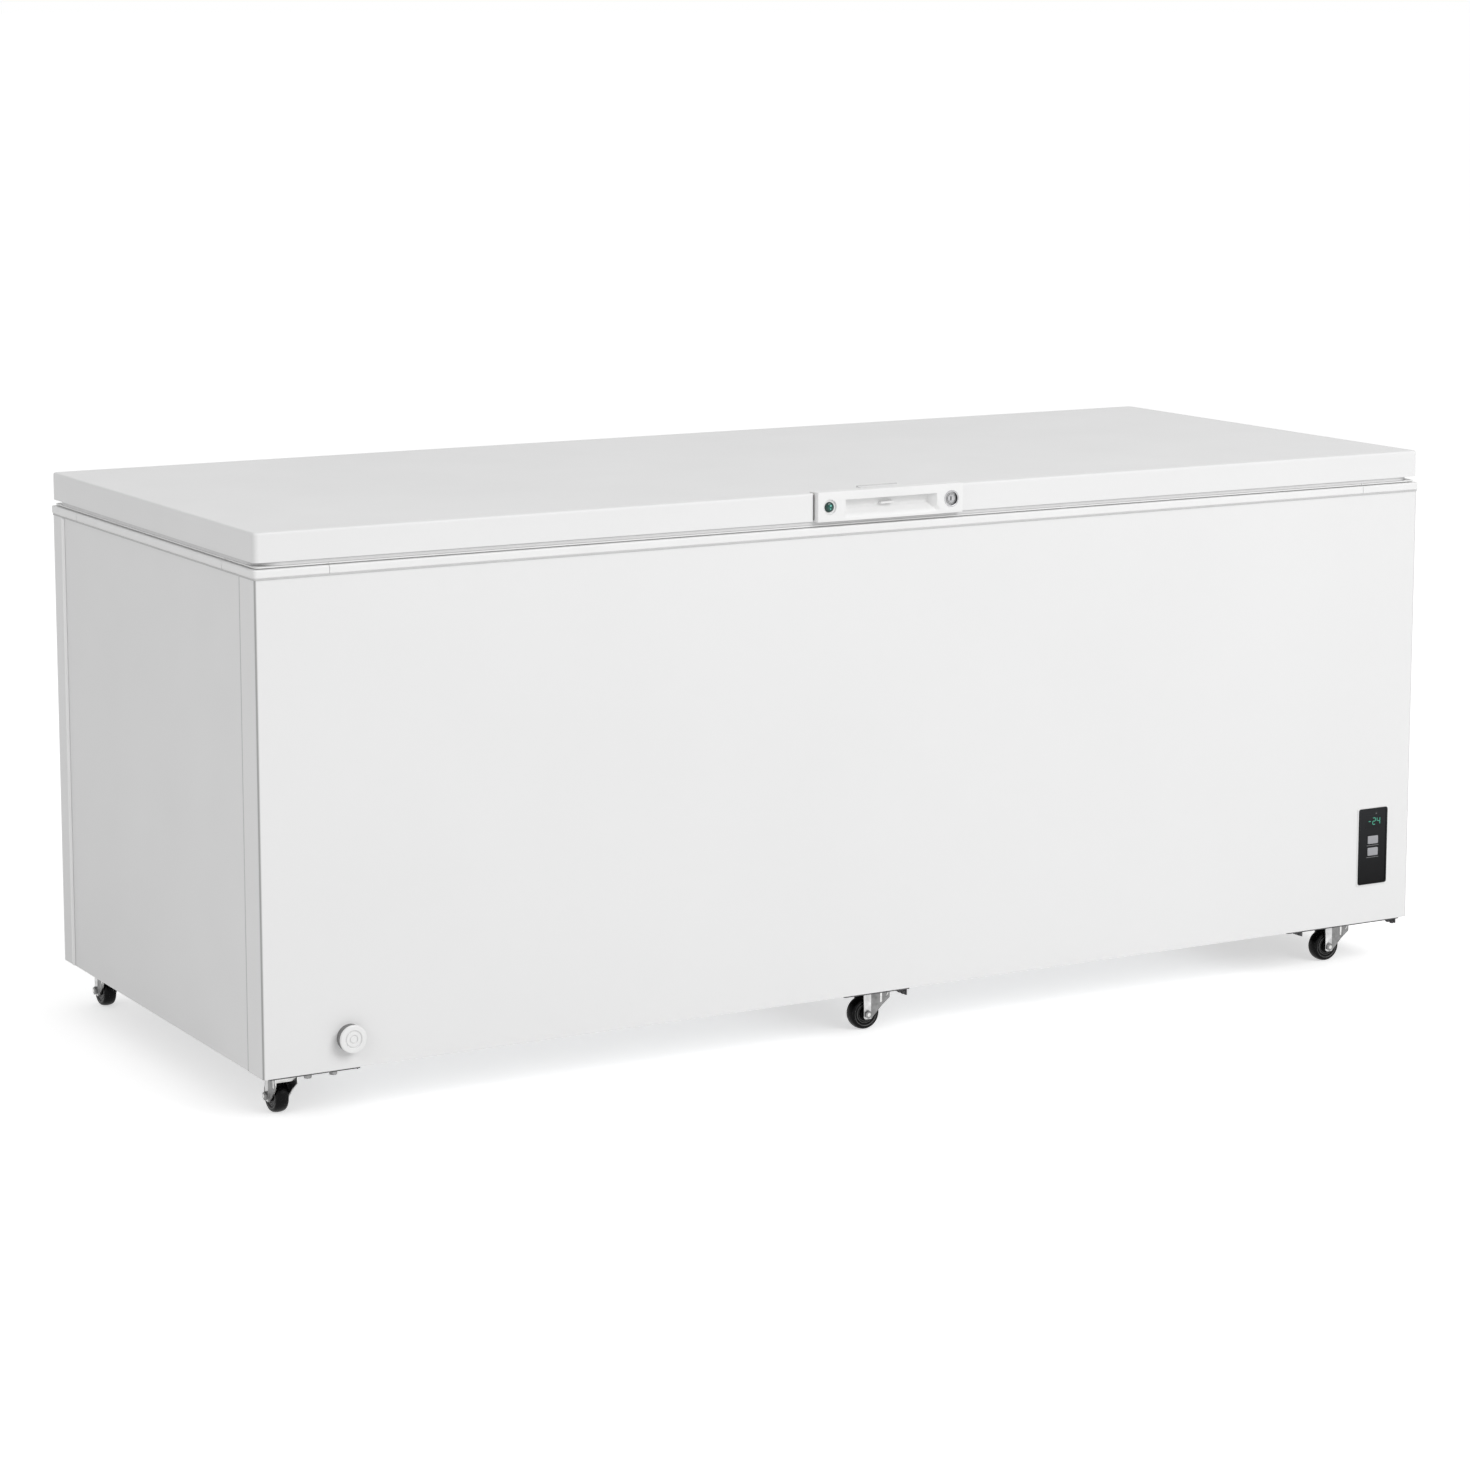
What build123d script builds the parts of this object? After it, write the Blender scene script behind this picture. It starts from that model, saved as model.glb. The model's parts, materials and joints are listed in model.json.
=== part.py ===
from build123d import *
import math
import os

os.makedirs("parts", exist_ok=True)

# Overall sizes, mm. Origin on the floor below the middle, +X right, +Y to the wall, +Z up.
cabinet_width = 2000.0
cabinet_depth = 796.0
cabinet_bottom = 73.0
lid_top = 835.0
lid_height = 41.5
lid_gap = 6.0
seat_rise = 3.5
trim_height = 12.0
half_w = cabinet_width / 2
half_d = cabinet_depth / 2
lid_bottom = lid_top - lid_height
seat_top = lid_bottom - lid_gap
trim_top = seat_top - seat_rise
trim_bottom = trim_top - trim_height
skin = 1.0
edge_radius = 4.0
fit_gap = 0.3
wall = 75.0

# Outer panels: the front and back are folded over the edges of the sides
front_wrap = 53.0
back_wrap = 46.0
tuck = 20.0
flange_width = 28.0
panel_tuck = 2.0
panel_top = trim_top - panel_tuck
front_seam = -half_d + front_wrap
back_seam = half_d - back_wrap
inside_x = half_w - 2 * skin
inside_y = half_d - skin

# Liner and compressor bay
liner_x = half_w - wall
liner_y = half_d - wall
floor_top = cabinet_bottom + wall
bay_length = 270.0
bay_height = 237.0
bay_wall = 65.0
bay_left = half_w - bay_length
bay_top = cabinet_bottom + bay_height
step_x = bay_left - bay_wall
step_top = bay_top + bay_wall
ledge_top = trim_bottom
ledge_thickness = 2.0
liner_rim = ledge_top - ledge_thickness

# Rim trim
trim_clear = 0.2
trim_wall = 2.0
trim_round = 2.2
trim_chamfer = 1.5
web_inset = 54.0
seat_outer = 8.0
seat_inner = 46.0
seat_lip_inset = 3.0
seat_lip = 1.9
cap_length = 110.0
cap_gap = 0.8

# Lid
lid_corner = 8.0
lid_edge = 3.5
lid_flange = 12.0
pan_margin_x = 115.0
pan_margin_y = 98.0
pan_x = half_w - pan_margin_x
pan_y = half_d - pan_margin_y
pan_drop = 10.0
inner_panel = 1.5
gasket_outer = 24.0
gasket_width = 22.0
gasket_gap = 0.2
gasket_fin_inset = 6.0
gasket_fin = 1.5
gasket_bend = 40.0

# Handle, lamp and lock
handle_x = 6.5
handle_width = 255.0
handle_drop = 0.8
handle_rise = 1.5
handle_low = lid_bottom - handle_drop
handle_high = lid_top + handle_rise
handle_proud = 8.5
handle_back = 12.0
tongue_width = 70.0
tongue_reach = 30.0
scoop_left = handle_x - 78.0
scoop_right = handle_x + 80.0
scoop_cover = 13.0
scoop_lip = 8.8
lamp_x = handle_x - 105.0
lamp_radius = 7.5
lock_x = handle_x + 105.5
lock_rise = 21.3
lock_z = handle_low + lock_rise
lock_flange_radius = 12.5
lock_body_radius = 11.0
lock_dish_radius = 9.6
lock_dish = 3.0
lock_proud = 0.8
plug_radius = 6.0
turn_clear = 0.05
cam_reach = 39.0
cam_thickness = 3.0

# Control panel in the front of the compressor bay
fascia_inset = 73.8
fascia_rise = 125.0
fascia_x = half_w - fascia_inset
fascia_z = cabinet_bottom + fascia_rise
fascia_width = 54.4
fascia_height = 121.5
frame_border = 3.5
button_width = 20.0
button_height = 12.6
button_rise = 10.3
button_pitch = 19.3
upper_button_z = fascia_z + button_rise
lower_button_z = upper_button_z - button_pitch
button_clear = 0.3
display_rise = 40.0
display_z = fascia_z + display_rise
display_width = 33.0
display_height = 22.0

# Drain
drain_inset = 130.0
drain_rise = 45.0
drain_back = 118.0
drain_x = -half_w + drain_inset
drain_z = cabinet_bottom + drain_rise
drain_y = -half_d + drain_back
spout_radius = 11.35
sump_radius = 15.0
sump_drop = 17.0
dial_radius = 20.0
front_reach = 16.0

# Cooling circuit
tube_radius = 4.0
tube_off = 6.2
channel = 5.0
loop_count = 7
riser_inset = 150.0
riser_step = 60.0
run_count = 6
run_inset_left = 120.0
run_inset_right = 240.0
comp_inset = 135.0
comp_y = 60.0
foot_rise = 24.0
drier_inset = 45.0
drier_low = 190.0
drier_high = 300.0
comp_x = half_w - comp_inset
foot_z = cabinet_bottom + foot_rise
drier_x = half_w - drier_inset
drier_z = bay_top - 60.0
capillary_y = drier_low - 40.0
discharge_x = comp_x - 25.0
suction_x = comp_x + 15.0
suction_y = comp_y - 120.0
riser_x = half_w - riser_inset
tube_x = liner_x + skin + tube_off
tube_y = liner_y + skin + tube_off
loop_low = step_top + 35.0
loop_pitch = (liner_rim - 48.0 - loop_low) / (loop_count - 1)
condenser_y = inside_y - tube_radius - 2.0
condenser_in = half_w - 200.0
condenser_out = half_w - 140.0
run_left = -half_w + run_inset_left
run_right = half_w - run_inset_right
run_low = bay_top + 35.0
run_pitch = (liner_rim - 100.0 - run_low) / (run_count - 1)
gland_inset = 180.0
gland_rise = 57.0
gland_x = half_w - gland_inset
gland_z = cabinet_bottom + gland_rise
cord_radius = 4.25

# Side grille
grille_y = 30.0
grille_rise = 122.0
grille_z = cabinet_bottom + grille_rise
grille_length = 270.0
grille_height = 150.0

# Hinges
hinge_spacing = 1120.0
pin_back = 7.5
pin_drop = 3.5
pin_z = lid_bottom - pin_drop
pin_radius = 3.95
pin_fit = 0.05
hinge_plate = 2.5
hinge_drop = 3.0
hinge_height = 129.0
ear_inside = 22.0
ear_thickness = 3.0
leaf_screw_rise = 26.5

# Castors, each with its place and the way its wheel trails
wheel_radius = 25.0
wheel_width = 20.0
castor_trail = 18.0
rail_thickness = 2.0
castor_plate = 2.5
king_radius = 4.0
axle_radius = 3.0
castor_left = -half_w + 55.0
castor_middle = 26.0
castor_right = half_w - 97.0
castor_front = -half_d + 68.0
castor_back = half_d - 48.0
trail_left = 90.0
trail_right = 180.0
castors = {
    "front_left": (castor_left, castor_front, trail_left),
    "back_left": (castor_left, castor_back, trail_left),
    "front_middle": (castor_middle, castor_front, trail_right),
    "back_middle": (castor_middle, castor_back, trail_right),
    "front_right": (castor_right, castor_front, trail_right),
    "back_right": (castor_right, castor_back, trail_right),
}


def block(x0, x1, y0, y1, z0, z1, mode=Mode.ADD):
    with Locations(((x0 + x1) / 2, (y0 + y1) / 2, (z0 + z1) / 2)):
        Box(x1 - x0, y1 - y0, z1 - z0, mode=mode)


def rod_y(x, y0, y1, z, radius, mode=Mode.ADD):
    with Locations(Location((x, (y0 + y1) / 2, z), (90, 0, 0))):
        Cylinder(radius, y1 - y0, mode=mode)


def save(part, name):
    part.label = name
    export_step(part, f"parts/{name}.step")


# Front panel, folded round both front corners, with a foot flange
with BuildPart() as front_panel:
    with BuildSketch(Plane.XY.offset(cabinet_bottom)):
        RectangleRounded(cabinet_width, cabinet_depth, edge_radius)
        RectangleRounded(cabinet_width - 2 * skin, 2 * inside_y, edge_radius - skin, mode=Mode.SUBTRACT)
        with Locations((0, front_seam)):
            Rectangle(cabinet_width + 2, cabinet_depth, align=(Align.CENTER, Align.MIN), mode=Mode.SUBTRACT)
    extrude(amount=panel_top - cabinet_bottom)
    block(-half_w + edge_radius, half_w - edge_radius, -half_d + skin / 2, -half_d + flange_width,
          cabinet_bottom, cabinet_bottom + skin)
    block(fascia_x - fascia_width / 2 - 2, fascia_x + fascia_width / 2 + 2, -half_d - 2, -half_d + 5,
          fascia_z - fascia_height / 2 - 2, fascia_z + fascia_height / 2 + 2, Mode.SUBTRACT)
    rod_y(drain_x, -half_d - 2, -half_d + 5, drain_z, 13.4, Mode.SUBTRACT)
save(front_panel.part, "front_panel")

# Back panel, folded the same way
with BuildPart() as back_panel:
    with BuildSketch(Plane.XY.offset(cabinet_bottom)):
        RectangleRounded(cabinet_width, cabinet_depth, edge_radius)
        RectangleRounded(cabinet_width - 2 * skin, 2 * inside_y, edge_radius - skin, mode=Mode.SUBTRACT)
        with Locations((0, back_seam)):
            Rectangle(cabinet_width + 2, cabinet_depth, align=(Align.CENTER, Align.MAX), mode=Mode.SUBTRACT)
    extrude(amount=panel_top - cabinet_bottom)
    block(-half_w + edge_radius, half_w - edge_radius, half_d - flange_width, half_d - skin / 2,
          cabinet_bottom, cabinet_bottom + skin)
    rod_y(gland_x, half_d - 5, half_d + 2, gland_z, 9.2, Mode.SUBTRACT)
save(back_panel.part, "back_panel")

# Side panels, their edges tucked behind the folded ends of the front and back
def side_panel(side):
    x0, x1 = sorted((side * inside_x, side * (half_w - skin)))
    with BuildPart() as panel:
        block(x0, x1, front_seam - tuck, back_seam + tuck, cabinet_bottom, panel_top)
        if side > 0:
            block(x0 - 5, x1 + 5, grille_y - grille_length / 2, grille_y + grille_length / 2,
                  grille_z - grille_height / 2, grille_z + grille_height / 2, Mode.SUBTRACT)
    return panel.part


save(side_panel(-1), "left_side_panel")
save(side_panel(1), "right_side_panel")

# Base panel under the floor, and the folded partition over the compressor bay
base_y = half_d - flange_width - fit_gap
with BuildPart() as base_panel:
    block(-inside_x, bay_left, -base_y, base_y, cabinet_bottom, cabinet_bottom + skin)
save(base_panel.part, "base_panel")

partition_right = half_w - edge_radius - 2 * skin
pipe_holes = (
    (condenser_in, condenser_y, tube_radius + 1.0),
    (condenser_out, condenser_y, tube_radius + 1.0),
    (drier_x, capillary_y, tube_radius),
    (suction_x, suction_y, tube_radius),
    (riser_x, tube_y, tube_radius + 1.5),
)
with BuildPart() as bay_partition:
    with BuildSketch(Plane.XZ.offset(-inside_y)):
        with BuildLine():
            Polyline(
                (bay_left, cabinet_bottom + skin),
                (bay_left, bay_top - skin),
                (partition_right, bay_top - skin),
                (partition_right, bay_top),
                (bay_left - skin, bay_top),
                (bay_left - skin, cabinet_bottom + skin),
                close=True,
            )
        make_face()
    extrude(amount=2 * inside_y)
    for x, y, radius in pipe_holes:
        with Locations((x, y, bay_top)):
            Cylinder(radius, 6 * skin, mode=Mode.SUBTRACT)
save(bay_partition.part, "bay_partition")

# Evaporator: level loops round the liner with a riser between each
evaporator_points = [(riser_x, tube_y, bay_top - 6)]
for k in range(loop_count):
    level = loop_low + k * loop_pitch
    last = riser_x - (k + 1) * riser_step if k < loop_count - 1 else -half_w + 400.0
    evaporator_points += [
        (riser_x - k * riser_step, tube_y, level),
        (tube_x, tube_y, level),
        (tube_x, -tube_y, level),
        (-tube_x, -tube_y, level),
        (-tube_x, tube_y, level),
        (last, tube_y, level),
    ]
with BuildPart() as evaporator_tube:
    with BuildLine() as evaporator_path:
        FilletPolyline(*evaporator_points, radius=10.0)
    with BuildSketch(Plane(evaporator_path.line @ 0, z_dir=evaporator_path.line % 0)):
        Circle(tube_radius)
    sweep()
save(evaporator_tube.part, "evaporator_tube")

# Condenser: one serpentine behind the back panel, both ends in the compressor bay
condenser_points = [(condenser_in, condenser_y, bay_top - 30), (condenser_in, condenser_y, run_low)]
for k in range(run_count):
    level = run_low + k * run_pitch
    end = run_left if k % 2 == 0 else run_right
    if k == run_count - 1:
        end = condenser_out
    condenser_points.append((end, condenser_y, level))
    if k < run_count - 1:
        condenser_points.append((end, condenser_y, level + run_pitch))
condenser_points.append((condenser_out, condenser_y, bay_top - 30))
with BuildPart() as condenser_tube:
    with BuildLine() as condenser_path:
        FilletPolyline(*condenser_points, radius=14.0)
    with BuildSketch(Plane(condenser_path.line @ 0, z_dir=condenser_path.line % 0)):
        Circle(tube_radius)
    sweep()
save(condenser_tube.part, "condenser_tube")

# Insulation foam, filling the walls and floor, with channels for the tubes and the drain
mouth = web_inset - 2.5
bend = 4 * channel
riser_end = riser_x - loop_count * riser_step
loop_high = loop_low + (loop_count - 1) * loop_pitch
run_high = run_low + (run_count - 1) * run_pitch
with BuildPart() as insulation_foam:
    block(-inside_x, inside_x, -inside_y, inside_y, cabinet_bottom + skin, panel_top)
    fillet(insulation_foam.edges().filter_by(Axis.Z), edge_radius)
    block(bay_left - skin, half_w, -half_d, half_d, cabinet_bottom, bay_top, Mode.SUBTRACT)
    block(-liner_x - skin, step_x + skin, -liner_y - skin, liner_y + skin,
          floor_top - skin, panel_top + 1, Mode.SUBTRACT)
    block(step_x, liner_x + skin, -liner_y - skin, liner_y + skin,
          step_top - skin, panel_top + 1, Mode.SUBTRACT)
    block(-half_w + mouth, half_w - mouth, -half_d + mouth, half_d - mouth,
          liner_rim - skin, panel_top + 1, Mode.SUBTRACT)
    for k in range(loop_count):
        level = loop_low + k * loop_pitch
        reach = tube_off + channel
        block(-liner_x - reach, liner_x + reach, -liner_y - reach, liner_y + reach,
              level - channel, level + channel, Mode.SUBTRACT)
    block(riser_end, riser_x + 3 * channel, liner_y, liner_y + skin + tube_off + channel,
          bay_top - 1, loop_high, Mode.SUBTRACT)
    for k in range(run_count):
        level = run_low + k * run_pitch
        block(run_left - channel, condenser_out + channel, condenser_y - channel, half_d,
              level - channel, level + channel, Mode.SUBTRACT)
    for x0, x1 in ((run_left - channel, run_left + bend), (run_right - bend, run_right + channel),
                   (condenser_in - bend, condenser_in + channel),
                   (condenser_out - bend, condenser_out + channel)):
        block(x0, x1, condenser_y - channel, half_d, bay_top - 1, run_high + channel, Mode.SUBTRACT)
    rod_y(drain_x, -half_d, drain_y, drain_z, 13.0, Mode.SUBTRACT)
    with Locations((drain_x, drain_y, drain_z - sump_drop)):
        Cylinder(sump_radius, floor_top - drain_z + sump_drop, align=(Align.CENTER, Align.CENTER, Align.MIN),
                 mode=Mode.SUBTRACT)
    block(lock_x - 16, lock_x + 40, -half_d + 6, -half_d + 24, panel_top - 16, panel_top + 1, Mode.SUBTRACT)
save(insulation_foam.part, "insulation_foam")

# Inner liner of folded embossed sheet, one plate per face, with a step over the bay
liner_seam = 0.1
liner_flange = 20.0
with BuildPart() as inner_liner:
    block(-liner_x - skin, step_x + skin, -liner_y - skin, liner_y + skin, floor_top - skin, floor_top)
    with Locations((drain_x, drain_y, floor_top)):
        Cylinder(10.3, 10, mode=Mode.SUBTRACT)
    for y0 in (-liner_y - skin, liner_y):
        with BuildSketch(Plane.XZ.offset(-y0)):
            with BuildLine():
                Polyline(
                    (-liner_x + liner_seam, floor_top + liner_seam),
                    (step_x + skin, floor_top + liner_seam),
                    (step_x + skin, step_top - skin),
                    (liner_x - liner_seam, step_top - skin),
                    (liner_x - liner_seam, liner_rim),
                    (-liner_x + liner_seam, liner_rim),
                    close=True,
                )
            make_face()
        extrude(amount=-skin)
        f0, f1 = sorted((y0 + skin / 2, math.copysign(liner_y + skin + liner_flange, y0)))
        block(-liner_x - liner_flange, liner_x + liner_flange, f0, f1, liner_rim - skin, liner_rim)
    for side in (-1, 1):
        x0, x1 = sorted((side * liner_x, side * (liner_x + skin)))
        low = floor_top if side < 0 else step_top
        block(x0, x1, -liner_y + liner_seam, liner_y - liner_seam, low + liner_seam, liner_rim)
        f0, f1 = sorted((side * (liner_x + skin / 2), side * (liner_x + skin + liner_flange)))
        block(f0, f1, -liner_y + liner_seam, liner_y - liner_seam, liner_rim - skin, liner_rim)
    block(step_x, step_x + skin, -liner_y + liner_seam, liner_y - liner_seam, floor_top + liner_seam,
          step_top - skin - liner_seam)
    block(step_x, liner_x, -liner_y + liner_seam, liner_y - liner_seam, step_top - skin, step_top)
save(inner_liner.part, "inner_liner")


# Rim trim: one section run round the cabinet, cut into four rails and four corner caps
def frame_box(inset_out, inset_in, z0, z1, radius=0.5, inner_radius=0.01):
    with BuildPart(mode=Mode.PRIVATE) as ring:
        with BuildSketch(Plane.XY.offset(z0)):
            RectangleRounded(cabinet_width - 2 * inset_out, cabinet_depth - 2 * inset_out, radius)
            RectangleRounded(cabinet_width - 2 * inset_in, cabinet_depth - 2 * inset_in, inner_radius,
                             mode=Mode.SUBTRACT)
        extrude(amount=z1 - z0)
    return ring.part


trim_out = -(trim_clear + trim_wall)
seat_ring = frame_box(seat_outer, seat_inner, trim_top - 0.5, seat_top, 6.0)
lip_ring = frame_box(seat_lip_inset, seat_outer + 1, seat_top - seat_lip, seat_top, 6.0)
web_ring = frame_box(web_inset - 2, web_inset, liner_rim, trim_top - 0.5)
ledge_ring = frame_box(web_inset - 2, wall + 0.5, liner_rim, ledge_top)
with BuildPart() as rim_ring:
    with BuildSketch(Plane.XY.offset(trim_bottom)):
        RectangleRounded(cabinet_width - 2 * trim_out, cabinet_depth - 2 * trim_out, edge_radius - trim_out)
    extrude(amount=trim_top - trim_bottom)
    fillet(rim_ring.faces().sort_by(Axis.Z)[-1].edges(), trim_round)
    chamfer(rim_ring.faces().sort_by(Axis.Z)[0].edges(), trim_chamfer)
    with BuildSketch(Plane.XY.offset(trim_bottom)):
        RectangleRounded(cabinet_width + 2 * trim_clear, cabinet_depth + 2 * trim_clear,
                         edge_radius + trim_clear)
    extrude(amount=panel_top - trim_bottom, mode=Mode.SUBTRACT)
    with BuildSketch(Plane.XY.offset(trim_bottom)):
        Rectangle(cabinet_width - 2 * web_inset, cabinet_depth - 2 * web_inset)
    extrude(amount=trim_top - trim_bottom, mode=Mode.SUBTRACT)
    add([seat_ring, lip_ring, web_ring, ledge_ring])
    block(lock_x - 7, lock_x + 37, -half_d + 9, -half_d + 21, liner_rim - 5, seat_top + 5, Mode.SUBTRACT)

corner_x = half_w - cap_length
corner_y = half_d - cap_length
with BuildPart() as rim_rails:
    add(rim_ring.part)
    for sx in (-1, 1):
        for sy in (-1, 1):
            x0, x1 = sorted((sx * (corner_x - cap_gap), sx * (half_w + 10)))
            y0, y1 = sorted((sy * (corner_y - cap_gap), sy * (half_d + 10)))
            block(x0, x1, y0, y1, liner_rim - 10, seat_top + 10, Mode.SUBTRACT)
save(rim_rails.part, "rim_rails")

with BuildPart() as rim_corner_caps:
    for sx in (-1, 1):
        for sy in (-1, 1):
            x0, x1 = sorted((sx * corner_x, sx * (half_w + 10)))
            y0, y1 = sorted((sy * corner_y, sy * (half_d + 10)))
            block(x0, x1, y0, y1, liner_rim - 10, seat_top + 10)
    add(rim_ring.part, mode=Mode.INTERSECT)
save(rim_corner_caps.part, "rim_corner_caps")

# Keeper pocket under the slot in the front rail
with BuildPart() as lock_keeper:
    block(lock_x - 15.5, lock_x + 39.5, -half_d + 6.5, -half_d + 23.5, panel_top - 15.5, panel_top)
    block(lock_x - 14, lock_x + 38, -half_d + 8, -half_d + 22, panel_top - 14, panel_top + 1, Mode.SUBTRACT)
save(lock_keeper.part, "lock_keeper")

# Lid skin: a shallow folded pan with a return flange and a notch for the handle
handle_left = handle_x - handle_width / 2
handle_right = handle_x + handle_width / 2
notch_gap = 0.6
with BuildPart() as lid_skin:
    with BuildSketch(Plane.XY.offset(lid_bottom)):
        RectangleRounded(cabinet_width, cabinet_depth, lid_corner)
    extrude(amount=lid_top - lid_bottom)
    fillet(lid_skin.faces().sort_by(Axis.Z)[-1].edges(), lid_edge)
    offset(amount=-skin, openings=lid_skin.faces().sort_by(Axis.Z)[0])
    with BuildSketch(Plane.XY.offset(lid_bottom)):
        RectangleRounded(cabinet_width, cabinet_depth, lid_corner)
        RectangleRounded(cabinet_width - 2 * lid_flange, cabinet_depth - 2 * lid_flange, 2.0,
                         mode=Mode.SUBTRACT)
    extrude(amount=skin)
    block(handle_left - notch_gap, handle_right + notch_gap, -half_d - 1, -half_d + handle_back + notch_gap,
          lid_bottom - 1, lid_top + 1, Mode.SUBTRACT)
    block(handle_x - tongue_width / 2 - notch_gap, handle_x + tongue_width / 2 + notch_gap, -half_d - 1,
          -half_d + tongue_reach + notch_gap, lid_top - 5, lid_top + 1, Mode.SUBTRACT)
save(lid_skin.part, "lid_skin")

# Lid inner panel: flat border and a shallow pan, slotted for the lock's cam
border_z = lid_bottom + skin
with BuildPart() as lid_inner_panel:
    with BuildSketch(Plane.XY.offset(border_z)):
        RectangleRounded(cabinet_width - 4, cabinet_depth - 4, lid_corner - 2)
    extrude(amount=inner_panel)
    with BuildSketch(Plane.XY.offset(border_z - pan_drop)):
        RectangleRounded(2 * pan_x, 2 * pan_y, 25.0)
    extrude(amount=pan_drop)
    fillet(lid_inner_panel.faces().sort_by(Axis.Z)[0].edges(), 4.0)
    with BuildSketch(Plane.XY.offset(border_z - pan_drop + inner_panel)):
        RectangleRounded(2 * (pan_x - inner_panel), 2 * (pan_y - inner_panel), 23.5)
    extrude(amount=pan_drop + 1, mode=Mode.SUBTRACT)
    block(handle_left - notch_gap, handle_right + notch_gap, -half_d, -half_d + handle_back + notch_gap,
          border_z - 1, border_z + 5, Mode.SUBTRACT)
    block(lock_x - 13, lock_x + 41, -half_d + 9, -half_d + 21, border_z - 1, border_z + 5, Mode.SUBTRACT)
save(lid_inner_panel.part, "lid_inner_panel")

# Lid foam between the skin and the inner panel, with a pocket for the cam
with BuildPart() as lid_foam:
    with BuildSketch(Plane.XY.offset(border_z + inner_panel)):
        RectangleRounded(cabinet_width - 2 * skin - 0.6, cabinet_depth - 2 * skin - 0.6, lid_corner - skin)
    extrude(amount=lid_top - skin - border_z - inner_panel)
    fillet(lid_foam.faces().sort_by(Axis.Z)[-1].edges(), lid_edge - skin)
    with BuildSketch(Plane.XY.offset(border_z - pan_drop + inner_panel)):
        RectangleRounded(2 * (pan_x - inner_panel) - 0.6, 2 * (pan_y - inner_panel) - 0.6, 23.5)
    extrude(amount=pan_drop + 1)
    block(handle_left - notch_gap, handle_right + notch_gap, -half_d, -half_d + handle_back + notch_gap,
          lid_bottom, lid_top + 1, Mode.SUBTRACT)
    block(lock_x - 13, lock_x + 48, -half_d + 9, -half_d + 21, lid_bottom, lid_top - 3, Mode.SUBTRACT)
save(lid_foam.part, "lid_foam")

# Gasket: a hollow magnetic strip under the lid's border, with a fin out to the lid's edge
gasket_low = seat_top + gasket_gap
gasket_inner = gasket_outer + gasket_width
fin_top = lid_bottom - gasket_gap / 2
strip_ring = frame_box(gasket_outer, gasket_inner, gasket_low, border_z, 6.0)
bore_ring = frame_box(gasket_outer + 4, gasket_inner - 4, seat_top + 1.6, border_z - 1.6, 3.0)
fin_inner = gasket_fin_inset + gasket_fin
fin_ring = frame_box(gasket_fin_inset, fin_inner, gasket_low, fin_top, gasket_bend, gasket_bend - gasket_fin)
root_ring = frame_box(gasket_fin_inset, gasket_outer + 1, fin_top - 1.0, fin_top, gasket_bend)
with BuildPart() as lid_gasket:
    add([strip_ring, fin_ring, root_ring])
    add(bore_ring, mode=Mode.SUBTRACT)
    block(handle_left - notch_gap, handle_right + notch_gap, -half_d, -half_d + handle_back + notch_gap,
          seat_top, lid_bottom, Mode.SUBTRACT)
    block(lock_x - 13, lock_x + 41, -half_d + 9, -half_d + 21, seat_top, lid_bottom, Mode.SUBTRACT)
save(lid_gasket.part, "lid_gasket")

# Handle: a moulded plate over the lid's edge with a finger scoop, a lamp seat and a lock seat
handle_front = -half_d - handle_proud
handle_rear = -half_d + handle_back
scoop_high = handle_high - scoop_cover
scoop_low = handle_low + scoop_lip
with BuildPart() as handle:
    block(handle_left, handle_right, handle_front, handle_rear, handle_low, handle_high)
    fillet(handle.faces().sort_by(Axis.Y)[0].edges(), 2.5)
    block(handle_x - tongue_width / 2, handle_x + tongue_width / 2, handle_rear - 4, -half_d + tongue_reach,
          lid_top - skin, handle_high)
    fillet(handle.edges().filter_by(Axis.Z).group_by(Axis.Y)[-1], 5.0)
    with BuildSketch(Plane.YZ.offset(scoop_left)):
        with BuildLine():
            Polyline(
                (handle_front - 4, scoop_high),
                (handle_rear - 5, scoop_high),
                (handle_rear - 4, scoop_high - 8.5),
                (handle_front + 7, scoop_low + 5),
                (handle_front - 4, scoop_low),
                close=True,
            )
        make_face()
    extrude(amount=scoop_right - scoop_left, mode=Mode.SUBTRACT)
    rod_y(lamp_x, handle_front - 2, handle_rear + 2, lock_z, lamp_radius + fit_gap, Mode.SUBTRACT)
    rod_y(lamp_x, handle_front - 2, handle_front + 1.2, lock_z, lamp_radius + 2.2, Mode.SUBTRACT)
    rod_y(lock_x, handle_front - 2, handle_rear + 2, lock_z, lock_body_radius + fit_gap, Mode.SUBTRACT)
save(handle.part, "handle")

with BuildPart() as pilot_lamp_lens:
    rod_y(lamp_x, handle_front - 0.8, handle_rear, lock_z, lamp_radius)
    fillet(pilot_lamp_lens.faces().sort_by(Axis.Y)[0].edges(), 2.0)
save(pilot_lamp_lens.part, "pilot_lamp_lens")

# Cylinder lock: dished barrel, turning plug with a keyhole and a hooked cam
barrel_front = handle_front - lock_proud
plug_front = barrel_front + lock_dish
cam_back = -half_d + 16.5
cam_front = cam_back - cam_thickness
with BuildPart() as lock_barrel:
    rod_y(lock_x, barrel_front, handle_front, lock_z, lock_flange_radius)
    fillet(lock_barrel.faces().sort_by(Axis.Y)[0].edges(), lock_proud * 0.7)
    rod_y(lock_x, handle_front, handle_rear, lock_z, lock_body_radius)
    rod_y(lock_x, barrel_front - 1, plug_front + 0.5, lock_z, lock_dish_radius, Mode.SUBTRACT)
    rod_y(lock_x, barrel_front - 1, handle_rear + 1, lock_z, plug_radius, Mode.SUBTRACT)
save(lock_barrel.part, "lock_barrel")

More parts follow.
